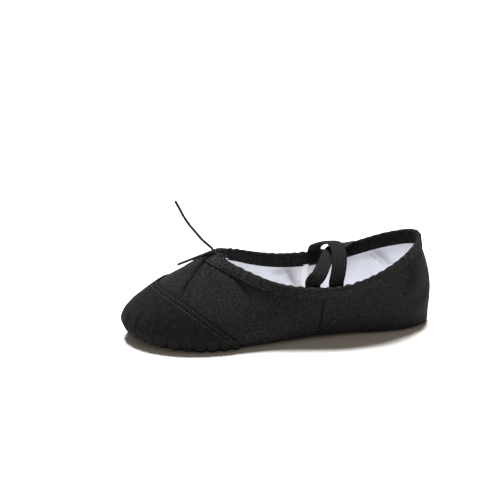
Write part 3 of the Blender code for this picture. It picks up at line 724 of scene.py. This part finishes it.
def canvas_material(name, level, pitch, tint):
    """Black plain-weave cotton with uneven yarns: painted shade between the yarns, a painted highlight
    on their crowns. level sets the brightness and pitch the spacing of the yarns."""
    n = Nodes(name)
    height = weave_height(n, pitch)
    slub = n.times(n.plus(*(n.noise(n.stretched(scale), 1300.0, 1.0, 0.6)
                            for scale in ((1.0, 0.28, 1.0), (0.28, 1.0, 1.0)))), 0.5)
    fleck = n.noise(n.uv(), 1150.0, 1.0, 0.6)
    grain = n.plus(n.times(slub, 0.5), n.times(fleck, 0.5))
    colour = n.ramp(grain, 0.44, 0.60, scaled(level * 0.03, *tint), scaled(level * 5.2, *tint))
    # painted shade between the yarns and a painted highlight on their crowns, from the weave's height
    colour = n.darken(colour, n.ramp(height, 0.10, 0.60, (0.15, 0.15, 0.16), grey(1.2)))
    worn = n.times(n.math("SUBTRACT", n.noise(n.uv(), 30.0, 1.0), 0.40), 0.8)
    # in_folds darkens it with the painted shade of the creases, folds, seams and heel
    colour = n.in_folds(n.mix(worn, colour, scaled(level, 1.25, 1.12, 1.10)))
    fuzz = n.noise(n.uv(), 2800.0)
    normal = n.bump(height, 0.22 * MM)
    normal = n.bump(n.plus(grain, n.times(fuzz, 0.3)), 0.55 * MM, normal=normal)
    rough = n.plus(n.times(grain, 0.2), 0.74)
    return n.finish(colour, rough, normal, specular=0.10, sheen=0.01)


def suede_material(level):
    """Black suede with a brushed nap: fine grain, soft patches and a few pale specks."""
    n = Nodes("suede")
    grain = n.noise(n.uv(), 1500.0, 3.0, 0.65)
    nap = n.noise(n.uv(), 260.0, 4.0, 0.62, 0.8)
    strokes = n.noise(n.stretched((1.0, 0.3, 1.0), turn=0.6), 520.0, 3.0, 0.6)
    brushed = n.plus(n.times(nap, 0.55), n.times(strokes, 0.45))
    colour = n.ramp(brushed, 0.40, 0.60, scaled(level, 0.25, 0.25, 0.24), scaled(level, 2.1, 2.08, 2.05))
    blotch = n.times(n.noise(n.uv(), 45.0), 0.5)
    colour = n.mix(blotch, colour, scaled(level, 0.9, 0.94, 0.82))
    speck = n.math("SUBTRACT", n.noise(n.uv(), 700.0, 1.0), 0.71)
    colour = n.mix(n.times(n.math("MAXIMUM", speck, 0.0), 2.0), colour, (0.06, 0.06, 0.058))
    normal = n.bump(n.plus(n.times(grain, 0.6), brushed), 0.30 * MM, 0.8)
    rough = n.plus(n.times(nap, 0.15), 0.80)
    # in_folds darkens it with the painted shade of the stitching channels, pleats and creases
    return n.finish(n.in_folds(colour), rough, normal, specular=0.09, sheen=0.01, sheen_rough=0.45)


def cotton_material(name, tint, pale):
    """White plain-weave cotton, a little crinkled."""
    n = Nodes(name)
    height = weave_height(n, 0.42 * MM)
    colour = n.ramp(n.noise(n.uv(), 60.0, 3.0), 0.35, 0.65, tint, pale)
    # painted shade between the yarns, from the weave's height
    colour = n.darken(colour, n.ramp(height, 0.15, 0.5, (0.86, 0.86, 0.88), grey(1)))
    crinkle = n.noise(n.uv(), 210.0, 3.0, 0.55, 0.4)
    normal = n.bump(crinkle, 0.30 * MM, 0.5, n.bump(height, 0.10 * MM, 0.7))
    # in_folds darkens it with the painted shade on the steep sides of the lining's folds
    return n.finish(n.in_folds(colour), 0.88, normal, specular=0.25, sheen=0.15)


def elastic_material(level):
    """Knitted elastic: lengthwise ribs, each a column of small stitches that lean by turns."""
    n = Nodes("elastic")
    x, y = n.across_along()
    across = n.times(x, 2 * math.pi / RIB_PITCH)
    lean = n.times(n.sine(n.times(across, 0.5)), 1.6)
    knit = n.sine(n.plus(n.times(y, 2 * math.pi / (1.1 * MM)), lean))
    height = n.plus(n.times(n.math("COSINE", across), 0.55), n.times(knit, 0.40))
    # painted highlight on the crowns of the ribs and stitches, and painted shade between them
    colour = n.ramp(height, 0.15, 0.95, grey(level * 0.10), grey(level * 26.0))
    slub = n.times(n.noise(n.uv(), 520.0), 0.25)
    colour = n.mix(slub, colour, scaled(level, 0.5, 0.5, 0.52))
    normal = n.bump(height, 0.30 * MM)
    return n.finish(colour, 0.65, normal, specular=0.09, sheen=0.005, sheen_rough=0.4)


def cord_material():
    """Braided black cord, waxed: two sets of strands wind round it in opposite directions."""
    n = Nodes("waxed_cord")
    x, y = n.across_along()
    u, v = n.times(x, 4 / (0.8 * MM)), n.times(y, 2 * math.pi / (1.5 * MM))
    height = n.math("MAXIMUM", n.sine(n.plus(u, v)), n.sine(n.math("SUBTRACT", u, v)))
    # painted highlight on the crowns of the strands and painted shade between them
    colour = n.ramp(height, -0.2, 1.0, grey(0.0015), grey(0.007))
    return n.finish(colour, 0.42, n.bump(height, 0.09 * MM, 0.8), specular=0.32)


def thread_material(name, colour_low, colour_high):
    n = Nodes(name)
    x, y = n.across_along()
    twist = n.sine(n.plus(n.times(y, 2 * math.pi / (0.55 * MM)), n.times(x, 2 / (0.2 * MM))))
    # painted highlight on the crowns of the twist and painted shade in its grooves
    colour = n.ramp(twist, -1.0, 1.0, colour_low, colour_high)
    return n.finish(colour, 0.5, n.bump(twist, 0.05 * MM, 0.8), specular=0.3, sheen=0.02)


CANVAS_LOOK = canvas_material("canvas", 0.0046, 0.80 * MM, (1.0, 1.0, 1.03))
BINDING_LOOK = canvas_material("binding", 0.0044, 0.62 * MM, (1.02, 1.02, 1.0))
SUEDE_LOOK = suede_material(0.0044)
COTTON_LOOK = cotton_material("lining_cotton", (0.84, 0.86, 0.93), (0.93, 0.94, 0.97))
TAPE_LOOK = cotton_material("seam_tape", (0.86, 0.87, 0.90), (0.94, 0.94, 0.95))
ELASTIC_LOOK = elastic_material(0.0010)
CORD_LOOK = cord_material()
THREAD_LOOK = thread_material("thread", (0.014, 0.014, 0.0145), (0.060, 0.060, 0.062))
DARK_THREAD_LOOK = thread_material("dark_thread", grey(0.0012), (0.0045, 0.0045, 0.0047))
LINING_THREAD_LOOK = thread_material("lining_thread", (0.10, 0.10, 0.11), (0.30, 0.30, 0.32))

ARCH = "arch"                 # in place of a body: the piece crosses the arch, so it is put on no body and stays where it is


def dress(item, look):
    item.data.materials.append(look)


def fit(item, look, slot_name, body, *nodes):
    """Dress a piece, put it on its body, and say which nodes of the frame it replaces."""
    dress(item, look)
    if body == ARCH:
        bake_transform(item)
    else:
        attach(item, body)
    if nodes:
        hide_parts(*nodes)
    return item


# ---------------------------------------------------------------- camera, then cords

AZIMUTH, ELEVATION = math.radians(171.6), math.radians(20.4)
DISTANCE = 0.579
TARGET = Vector((0.0192, -0.0046, 0.0576))


def make_camera():
    back = Vector((math.sin(AZIMUTH) * math.cos(ELEVATION), -math.cos(AZIMUTH) * math.cos(ELEVATION),
                   math.sin(ELEVATION)))
    data = bpy.data.cameras.new("camera")
    data.lens = 60.1
    data.sensor_width = 36.0
    data.clip_start = 0.01
    camera = bpy.data.objects.new("camera", data)
    bpy.context.collection.objects.link(camera)
    camera.location = TARGET + back * DISTANCE
    camera.rotation_euler = (-back).to_track_quat("-Z", "Y").to_euler()
    bpy.context.scene.camera = camera


make_camera()

CORD = 1.0 * MM               # the cord's radius
CORD_PRESSED = 0.76 * MM      # where it lies flat in the casing
KNOT = np.array([45.6, 1.0, 60.4]) * MM
LONG_TAIL = np.array([(46.9, 1.0, 63.1), (52.6, 0.6, 68.6), (56.8, 0.2, 73.9), (61.0, -0.4, 79.4),
                      (64.4, -1.0, 84.8), (67.8, -1.9, 91.7), (70.1, -2.4, 96.3)]) * MM
SHORT_TAIL = np.array([(48.6, 0.6, 59.3), (52.0, -2.3, 56.8), (57.3, -6.5, 53.2), (62.8, -10.9, 49.4),
                       (69.2, -15.8, 45.2)]) * MM


def make_tail(name, node, route):
    path = smooth_line(route, 0.35 * MM)
    tail = fit(tube(name, path, CORD, sides=16), CORD_LOOK, "cord", "forefoot", node)


make_tail("long_tail", "drawstring_end_long", LONG_TAIL)
make_tail("short_tail", "drawstring_end_short", SHORT_TAIL)


def make_knot():
    """The two ends come up through the slit of the casing, wind round each other and part."""
    twist = np.linspace(-0.75, 0.75, 25) * math.pi
    for sign, tail, name, nodes in ((1, LONG_TAIL, "knot_strand_1", ["drawstring_knot"]),
                                    (-1, SHORT_TAIL, "knot_strand_2", [])):
        coil = KNOT + np.stack([twist * 0.25, sign * np.cos(twist) * 1.15,
                                sign * np.sin(twist) * 1.05 + twist * 0.3], axis=1) * MM
        slit = KNOT + np.array([[-1.6, sign * 0.9, -6.4], [-1.2, sign * 0.8, -3.4]]) * MM
        into_tail = [tail[0] + (tail[1] - tail[0]) * share for share in (-0.1, 0.12)]
        path = smooth_line(np.vstack([slit, coil, into_tail]), 0.3 * MM)
        fit(tube(name, path, CORD * 0.97, sides=14), CORD_LOOK, "cord", "forefoot", *nodes)


make_knot()


# ---------------------------------------------------------------- upper

CLOTH_LOW = level(0.004)
CLOTH_TOP = below_rim(2.5 * MM)
VAMP_ENDS = (-SEAM_S + SEAM_GAP, SEAM_S - SEAM_GAP)
LEFT_ENDS = (SEAM_S + SEAM_GAP, 0.5 - SEAM_GAP)
RIGHT_ENDS = (0.5 + SEAM_GAP, 1 - SEAM_S - SEAM_GAP)


def make_layer(pieces, look, slot_name, layer, **shaping):
    """The panels of one cloth. A piece is its name, its node, its ends, its columns, its rows, the rows
    turned in under the sole, and how far its columns crowd together in the middle."""
    for name, node, ends, columns, rows, turned, crowd in pieces:
        part = panel(name, ends, CLOTH_LOW, CLOTH_TOP, layer, columns, rows, turned=turned, crowd=crowd,
                     **shaping)
        fit(part, look, slot_name, ARCH, node)


def cap_row(below):
    """Where a row of stitching runs, as s and t, a given length below the cap's edge."""
    s = np.linspace(-CAP_S + 0.004, CAP_S - 0.004, 121)
    t = cap_edge(s)[:, None] * (1 - np.linspace(0, 1, 60)[None, :])
    lengths = [run_length(rib) for rib in loft(s[:, None], t)]
    return s, np.array([np.interp(min(below, 0.75 * row[-1]), row, tt) for row, tt in zip(lengths, t)])


CAP_ROWS_ST = [cap_row(1.2 * MM), cap_row(4.4 * MM)]
CAP_ROWS = [loft(s, t) for s, t in CAP_ROWS_ST]


def cap_relief(s, t, p):
    """The cap follows the canvas under it, and is drawn in along its rows of stitching."""
    r = relief(s, t, p)
    for row in CAP_ROWS:
        d, _ = route_distance(p, row)
        r += 0.10 * MM * bell(d - 1.6 * MM, 0.9 * MM) - 0.28 * MM * bell(d, 0.55 * MM)
    return r


def cap_light(s, t, p):
    """Painted shade on the cap: darker in the channels of its stitching."""
    light = fold_light(s, t, p)
    for row in CAP_ROWS:
        light *= 1 - 0.5 * bell(route_distance(p, row)[0], 0.6 * MM)
    return light


def make_cap():
    cap = panel("toe_cap_suede", (-CAP_S + 0.001, CAP_S - 0.001), CLOTH_LOW, cap_edge, CAP, 221, 64,
                shape=cap_relief, light=cap_light, turned=10)
    fit(cap, SUEDE_LOOK, "suede", "forefoot", "toe_cap")
    lines = []
    for (s, t), base in zip(CAP_ROWS_ST, CAP_ROWS):
        out = normals(s, t)
        height = relief(s, t, base) + CAP[1] - 0.22 * MM
        lines.append((base + out * height[:, None], out))
    sewn = stitches("toe_cap_stitches", lines, 0.2 * MM, 2.3 * MM)
    fit(sewn, THREAD_LOOK, "thread", "forefoot", "toe_cap_stitching")


make_layer([("vamp_canvas", "vamp", VAMP_ENDS, 341, 96, 7, 0.45),
            ("quarter_canvas_left", "quarter_left", LEFT_ENDS, 101, 52, 6, 0),
            ("quarter_canvas_right", "quarter_right", RIGHT_ENDS, 101, 52, 6, 0)],
           CANVAS_LOOK, "canvas", CANVAS)
make_cap()
make_layer([("vamp_lining_cotton", "vamp_lining", VAMP_ENDS, 261, 80, 0, 0),
            ("quarter_cotton_left", "quarter_lining_left", LEFT_ENDS, 91, 48, 0, 0),
            ("quarter_cotton_right", "quarter_lining_right", RIGHT_ENDS, 91, 48, 0, 0)],
           COTTON_LOOK, "cotton", LINING, shape=lining_relief, light=lining_light)


# ---------------------------------------------------------------- topline

OUTER_ROW, INNER_ROW = 6.2 * MM, 8.8 * MM      # how deep the casing's two rows of stitching run


def rim_frame(s):
    """Points of the rim, with the directions up the wall and out of it."""
    rim = loft(s, 1.0)
    return rim, unit(rim - loft(s, depth_to_t(s, 1.0 * MM))), normals(s, np.full(len(s), 1.0))


def near_rim(deep):
    return math.exp(-max(deep, 0) / (3.2 * MM))


def casing_section():
    """The casing's section, as (distance from the last, depth below the rim): down the outer leg's
    face, over the rolled rim, down the inner leg and back up between the legs."""
    (back_out, face_out), (face_in, back_in) = CASING_OUT, CASING_IN
    down_out = [(face_out, d * MM) for d in (7.45, 7.1, 6.6, 6.1, 5.6, 4.8, 4.0, 3.2, 2.4, 1.6)]
    roll = [(face_out * 0.98, 0.8 * MM), (0.55 * MM, 0.1 * MM), (0.0, -0.35 * MM), (-0.8 * MM, -0.52 * MM),
            (-1.6 * MM, -0.35 * MM), (-2.2 * MM, 0.15 * MM)]
    down_in = [(face_in, d * MM) for d in (0.9, 1.7, 2.6, 3.6, 4.8, 6.0, 7.2, 8.2, 9.0, 9.6, 9.95)]
    back = [(face_in * 0.95, CASING_IN_DEEP + 0.1 * MM), (back_in, CASING_IN_DEEP), (back_in, 6 * MM),
            (back_in, 2.2 * MM), (-0.8 * MM, 1.0 * MM), (back_out, 2.2 * MM), (back_out, 5 * MM)]
    hem = [(back_out, CASING_OUT_DEEP), (face_out * 0.8, CASING_OUT_DEEP + 0.1 * MM)]
    return hem + down_out + roll + down_in + back


def make_casing():
    s = np.linspace(0.0105, 0.9895, 460)
    arc = rim_arc(s)
    reach = np.abs(arc)
    _, up, out = rim_frame(s)
    # the casing is gathered most at the throat and beside the elastics
    gather = (0.35 + 0.8 * bell(reach - 14 * MM, 16 * MM) + 0.7 * bell(reach - 92 * MM, 26 * MM)) * MM
    wave = np.sin(2 * math.pi * arc / (6.2 * MM) + 2.4 * line_noise(arc, 15 * MM, 21))
    slow = np.sin(2 * math.pi * arc / (7.7 * MM) + 2.0 * line_noise(arc, 19 * MM, 22) + 1.0)
    rise = gather * (0.36 * wave + 0.22 * slow) + 0.30 * MM * line_noise(arc, 31 * MM, 23)
    # the drawstring pulls the casing up into a lip at the throat, most on the left
    lip = np.where(arc > 0, 4.6, 2.6) * MM * bell(reach - 3.5 * MM, 8.5 * MM)
    lip = lip * (1 + 0.22 * np.sin(2 * math.pi * reach / (4.3 * MM) + 0.8))

    def place(offset, deep, dent):
        """Points of the casing at one place of its section, pressed in by dent, with their normals."""
        side, follows = (1, 1.0) if offset > 0 else (-1, 0.25)
        t = depth_to_t(s, max(deep, 0.0))
        base = loft(s, t)
        n = out if deep <= 0 else normals(s, t)
        base = base + up * max(0.0, -deep)
        bulge = gather * (0.17 * wave * (0.35 + near_rim(deep)) + 0.10 * slow)
        height = offset + relief(s, t, base) * follows + side * (bulge - dent)
        return base + n * height[:, None] + up * (rise * near_rim(deep))[:, None], n * side

    section = casing_section()
    grid = np.zeros((len(s), len(section), 3))
    for k, (offset, deep) in enumerate(section):
        depth, row = (0.30 * MM, OUTER_ROW) if offset > 0 else (0.2 * MM, INNER_ROW)
        pulled = 1 - step_up(deep, 0.5 * MM, 7.0 * MM)
        points, _ = place(offset, deep, depth * bell(deep - row, 0.45 * MM))
        grid[:, k] = points + up * (lip * pulled)[:, None]
    rows, cols = grid.shape[:2]
    ends = range(cols), range(rows * cols - 1, (rows - 1) * cols - 1, -1)
    uv = grid_uv(run_length(grid[200]), arc)[:, ::-1]
    quads = grid_quads(rows, cols, around=True, flip=True)
    casing = make_mesh("casing", grid.reshape(-1, 3), quads, uv, ends)
    fit(casing, BINDING_LOOK, "binding", ARCH, "topline_casing")
    lines = [place(CASING_OUT[1], OUTER_ROW, 0.22 * MM), place(CASING_IN[0], INNER_ROW, 0.22 * MM)]
    sewn = stitches("casing_stitches", lines, 0.17 * MM, 2.1 * MM)
    fit(sewn, DARK_THREAD_LOOK, "thread", ARCH, "casing_stitching")


def make_drawstring():
    """The cord inside the casing, with its two ends coming out to the knot."""
    s = np.linspace(0.012, 0.988, 260)
    rim, up, out = rim_frame(s)
    ring = rim - up * 1.3 * MM - out * 0.8 * MM
    lead, tail = KNOT + np.array([(-0.6, 0.4, -0.2), (-0.6, -1.4, -0.2)]) * MM
    start = smooth_line([lead, ring[0] + np.array([2.2, -0.4, 1.2]) * MM, ring[0], ring[3]], 0.8 * MM)[:-1]
    end = smooth_line([ring[-4], ring[-1], ring[-1] + np.array([2.2, 0.2, 1.2]) * MM, tail], 0.8 * MM)[1:]
    cord = tube("drawstring_cord", np.concatenate([start, ring[3:-3], end]), CORD_PRESSED, sides=10)
    fit(cord, CORD_LOOK, "cord", ARCH, "drawstring")


make_casing()
make_drawstring()


# ---------------------------------------------------------------- seams

ZIGZAG_SWEEP = 0.0042         # half the width of a zigzag, in s
ZIGZAG_SHIFT = 0.0095         # how far behind its seam a zigzag runs, in s


def make_zigzag(name, centre, top, node, body):
    """Zigzag stitches up a seam: each leg of the zigzag is one stitch."""
    t = np.linspace(0.03, top, 15)
    s = centre + np.where(np.arange(len(t)) % 2, 1, -1) * ZIGZAG_SWEEP
    base, n = loft(s, t), normals(s, t)
    corners = base + n * (relief(s, t, base) + 0.02 * MM)[:, None]
    share = np.linspace(0.04, 0.96, 8)[:, None]
    lines = [tuple(line[k] * (1 - share) + line[k + 1] * share for line in (corners, n))
             for k in range(len(t) - 1)]
    fit(stitches(name, lines, 0.17 * MM), DARK_THREAD_LOOK, "thread", body, node)


TAPE_HALF = 0.0088            # half a tape's width, in s, and where its stitches run
TAPE_STITCHES = 0.0062


def tape_relief(s, t, p):
    """The tape follows the lining, but lies flatter."""
    return lining_relief(s, t, p) * 0.6 - 0.25 * MM


def make_tapes():
    """Cotton tape over each seam inside, with a row of stitches near each edge."""
    lines = []
    for name, centre, top, node in (("tape_left", SEAM_S, 0.76, "side_seam_tape_left"),
                                    ("tape_right", 1 - SEAM_S, 0.76, "side_seam_tape_right"),
                                    ("tape_heel", 0.5, 0.84, "heel_seam_tape")):
        tape = panel(name, (centre - TAPE_HALF, centre + TAPE_HALF), level(0.03), below_rim(9.0 * MM), TAPE,
                     25, 60, shape=tape_relief, light=lining_light)
        fit(tape, TAPE_LOOK, "cotton", ARCH, node)
        for side in (-TAPE_STITCHES, TAPE_STITCHES):
            t = np.linspace(0.06, top, 80)
            s = np.full(len(t), centre + side)
            base, n = loft(s, t), normals(s, t)
            height = tape_relief(s, t, base) + TAPE[0] - 0.02 * MM
            lines.append((base + n * height[:, None], -n))
    sewn = stitches("tape_stitches", lines, 0.15 * MM, 2.4 * MM, gap=1.0 * MM)
    fit(sewn, LINING_THREAD_LOOK, "thread", ARCH)


make_zigzag("side_stitches_left", SEAM_S + ZIGZAG_SHIFT, 0.80, "side_seam_stitching_left", ARCH)
make_zigzag("side_stitches_right", 1 - SEAM_S - ZIGZAG_SHIFT, 0.80, "side_seam_stitching_right", ARCH)
make_zigzag("heel_stitches", 0.5, 0.86, "heel_seam_stitching", "heel")
make_tapes()


# ---------------------------------------------------------------- bottom

WHOLE = (-1.0, 1.0)           # ends of a plate that fills the outline


def feather_line(inset):
    """The left half of the bottom's outline, drawn in by inset, from heel to toe: x, y, z and tuck."""
    s = np.linspace(0, 0.5, 241)
    edge = loft(s, 0.0)
    tuck = toe_tuck(s)
    along = unit(np.gradient(edge[:, :2], axis=0))
    out = np.stack([along[:, 1], -along[:, 0]], axis=1)
    moved = edge[:, :2] - out * (inset + tuck)[:, None]
    order = np.argsort(moved[:, 0])
    return moved[order, 0], np.maximum(moved[order, 1], 0), edge[order, 2], tuck[order]


def plate(name, ends, inset, low, high, stations, across, round_front=0.0, round_back=0.0, soft=0.9 * MM,
          lifted=0.8):
    """A flat piece with rounded edges inside the bottom outline, between the faces low and high. Its
    toe is lifted by a share of the tuck that rounds off the toe of the upper."""
    line_x, line_y, line_z, tuck = feather_line(inset)
    first, last = max(ends[0], line_x[0]), min(ends[1], line_x[-1])
    xs = (first + last) / 2 - (last - first) / 2 * np.cos(np.linspace(0, math.pi, stations))
    half = np.interp(xs, line_x, line_y)
    for radius, away in ((round_back, xs - first), (round_front, last - xs)):
        if radius:
            half = half * np.sqrt(1 - 0.985 * np.clip(1 - away / radius, 0, 1) ** 2)
    half = np.maximum(half, 0.6 * MM)
    c = np.sin(np.linspace(-math.pi / 2, math.pi / 2, across))
    x, y, z = np.broadcast_arrays(xs[:, None], half[:, None] * c[None, :],
                                  np.interp(xs, line_x, line_z + lifted * tuck)[:, None])
    edge = np.minimum(half[:, None] * (1 - np.abs(c))[None, :], np.minimum(xs - first, last - xs)[:, None])
    top, under = high(x, y, z, edge), low(x, y, z, edge)
    mid = (top + under) / 2
    fill = np.sqrt(np.clip(1 - (1 - np.clip(edge / soft, 0, 1)) ** 2, 0.004, 1))
    faces = [np.stack([x, y, mid + (face - mid) * fill], axis=-1)[:, ::-1] for face in (top, under)]
    return shell(name, *faces, np.stack([x, y], axis=-1)[:, ::-1])


def raised(height):
    """A face that follows the feather edge at a given height."""
    return lambda x, y, z, edge: z + height


def sock_top(x, y, z, edge):
    uneven = noise(np.stack([x, y, z * 0], axis=-1), 15 * MM, 31)
    return z + 2.2 * MM + 0.25 * MM * uneven - 0.5 * MM * np.exp(-edge / (1.5 * MM))


def spring(x):
    """How far the sole rises towards the toe."""
    return 3.4 * MM * np.clip((x - 58 * MM) / (48 * MM), 0, None) ** 2


def pad_low(x, y, z, edge):
    """The underside of a sole pad, with the stitched channel near its edge."""
    return spring(x) + 0.36 * MM * bell(edge - 2.2 * MM, 0.45 * MM) + 0.02 * MM


def pad_top(x, y, z, edge):
    return np.maximum(z - 0.75 * MM, spring(x) + 1.0 * MM)


def make_bottom():
    arch = plate("arch_canvas", WHOLE, 2.2 * MM, raised(-0.45 * MM), raised(0.35 * MM), 160, 25)
    fit(arch, CANVAS_LOOK, "canvas", ARCH, "arch_panel")
    sock = plate("insole", WHOLE, 1.4 * MM, raised(0.5 * MM), sock_top, 180, 41, soft=1.4 * MM)
    fit(sock, COTTON_LOOK, "cotton", ARCH, "insole_sock")
    front = plate("forefoot_pad", (15 * MM, 103 * MM), 3.5 * MM, pad_low, pad_top, 220, 91,
                  round_back=14 * MM, soft=0.6 * MM, lifted=0.4)
    back = plate("heel_pad", (-104.5 * MM, -58 * MM), 3.5 * MM, pad_low, raised(-0.75 * MM), 160, 71,
                 round_front=16 * MM, soft=0.6 * MM)
    fit(front, SUEDE_LOOK, "suede", "forefoot", "forefoot_sole")
    fit(back, SUEDE_LOOK, "suede", "heel", "heel_sole")


make_bottom()


# ---------------------------------------------------------------- elastics

# The x of the left end, points on the way over the foot, and the x of the right end, in mm
STRAP_OVER = (-33.4, [(-34.9, 31.5, 52.5), (-36.6, 27.0, 60.5), (-36.9, 19.0, 65.2), (-35.9, 9.0, 65.6),
                      (-34.6, -3.0, 61.6), (-33.7, -15.0, 56.2), (-32.8, -27.0, 50.2)], -32.4)
STRAP_UNDER = (-17.4, [(-21.9, 30.3, 50.2), (-26.4, 25.5, 56.4), (-30.9, 18.5, 60.2), (-36.4, 9.0, 61.0),
                       (-42.9, -2.5, 58.4), (-49.4, -14.0, 55.2), (-55.4, -26.0, 51.4)], -58.4)
STRAP_STEP = 0.7 * MM
STRAP_TAB, STRAP_TURN = 9 * MM, 18 * MM        # the sewn tab, and the length over which the tape turns
RIM_HALF = np.linspace(0.12, 0.45, 200)
RIM_X = -loft(RIM_HALF, 1.0)[:, 0]


def tab_points(x, side):
    """The sewn end of an elastic, from low on the casing's inner leg up to the rim, and the rim's
    direction there."""
    s = float(np.interp(-x * MM, RIM_X, RIM_HALF))
    mirror = np.array([1, side, 1])
    offset = CASING_IN[0] - 0.42 * MM - STRAP_THICK / 2
    t = depth_to_t(np.full(5, s), np.array([8.6, 6.4, 4.2, 2.0, 0.0]) * MM)
    ahead = (loft(s - 0.01, 1.0) - loft(s + 0.01, 1.0)) * mirror
    return list((loft(s, t) + normals(s, t) * offset) * mirror), unit(ahead)


def make_strap(name, ends, nodes):
    left, left_rim = tab_points(ends[0], 1)
    right, right_rim = tab_points(ends[2], -1)
    rise = np.array([0, 0, 1.5]) * MM
    line = smooth_line([*left, left[-1] + 2 * rise, *np.array(ends[1]) * MM, right[-1] + rise, *right[::-1]],
                       STRAP_STEP)
    travelled = np.linspace(0, 1, len(line)) * (len(line) - 1) * STRAP_STEP
    # the tape lies along the rim at its ends, and square across the foot between them
    run = right[-1] - left[-1]
    square = unit(np.array([-run[1], run[0], 0.0]))
    by_left = np.clip(1 - (travelled - STRAP_TAB) / STRAP_TURN, 0, 1)[:, None]
    by_right = np.clip(1 - (travelled[-1] - travelled - STRAP_TAB) / STRAP_TURN, 0, 1)[:, None]
    way = unit(np.gradient(line, axis=0))
    wide = square * (1 - by_left - by_right) + left_rim * by_left + right_rim * by_right
    wide = unit(wide - way * (wide * way).sum(1)[:, None])
    face = np.cross(way, wide)
    # its ribs run lengthwise, its selvedges are round, and it cups a little over the foot
    c = np.linspace(-1, 1, STRAP_RIBS * 8 + 1)
    rib = 0.45 + 0.24 * np.cos(c * math.pi * STRAP_RIBS)
    selvedge = np.sqrt(np.clip(1 - np.clip((np.abs(c) - 0.93) / 0.07, 0, 1) ** 2, 0.02, 1))
    ripple = 1 + 0.05 * np.sin(travelled / (0.9 * MM) * math.pi)
    over_foot = np.clip((travelled - STRAP_TAB) / (travelled[-1] - 2 * STRAP_TAB), 0, 1)
    cup = 0.35 * MM * np.sin(math.pi * over_foot)
    spread = line[:, None, :] + wide[:, None, :] * (c * STRAP_WIDE / 2)[None, :, None]
    spread = spread - face[:, None, :] * (cup[:, None] * (c ** 2)[None, :])[..., None]
    lift = face[:, None, :] * ((rib * selvedge * STRAP_THICK)[None, :] * ripple[:, None])[..., None]
    uv = grid_uv(c * STRAP_WIDE / 2, travelled).reshape(*spread.shape[:2], 2)
    strap = shell(name, (spread + lift)[:, ::-1], (spread - lift)[:, ::-1], uv[:, ::-1])
    dress(strap, ELASTIC_LOOK)
    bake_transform(strap)
    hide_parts(*nodes)


make_strap("strap_over_tape", STRAP_OVER,
           ["elastic_strap_over", "strap_end_rear_left", "strap_end_front_right"])
make_strap("strap_under_tape", STRAP_UNDER,
           ["elastic_strap_under", "strap_end_front_left", "strap_end_rear_right"])


# ---------------------------------------------------------------- floor and light

def make_world(colour, strength):
    """Warm dim light from all round, behind a plain white background."""
    world = bpy.data.worlds.new("studio")
    world.use_nodes = True
    tree = world.node_tree
    fill = tree.nodes["Background"]
    fill.inputs["Color"].default_value = (*colour, 1)
    fill.inputs["Strength"].default_value = strength
    white = tree.nodes.new("ShaderNodeBackground")
    white.inputs["Color"].default_value = (1, 1, 1, 1)
    mix = tree.nodes.new("ShaderNodeMixShader")
    seen = tree.nodes.new("ShaderNodeLightPath").outputs["Is Camera Ray"]
    for socket, source in zip(mix.inputs, (seen, fill.outputs[0], white.outputs[0])):
        tree.links.new(source, socket)
    tree.links.new(mix.outputs[0], tree.nodes["World Output"].inputs["Surface"])
    bpy.context.scene.world = world


def make_floor():
    bpy.ops.mesh.primitive_plane_add(size=14, location=(0, 0, 0))
    floor = bpy.context.object
    floor.name = "floor"
    n = Nodes("paper")
    n.shader.inputs["Base Color"].default_value = (0.90, 0.90, 0.90, 1)
    n.shader.inputs["Roughness"].default_value = 0.9
    n.shader.inputs["Specular IOR Level"].default_value = 0.1
    floor.data.materials.append(n.material)


def make_sun(name, place, angle, power, colour):
    data = bpy.data.lights.new(name, "SUN")
    data.angle = math.radians(angle)
    data.energy = power
    data.color = colour
    lamp = bpy.data.objects.new(name, data)
    bpy.context.collection.objects.link(lamp)
    lamp.location = place
    lamp.rotation_euler = Vector(place).to_track_quat("Z", "Y").to_euler()


make_floor()
make_world((1.0, 0.80, 0.62), 0.085)
make_sun("key", (0.0, -0.27, 1.0), 24, 9.5, (1, 1, 1))
make_sun("front", (0.25, 0.8, 1.0), 70, 0.33, (1.0, 0.88, 0.74))
bpy.context.scene.view_settings.view_transform = "Standard"
bpy.context.scene.view_settings.look = "None"
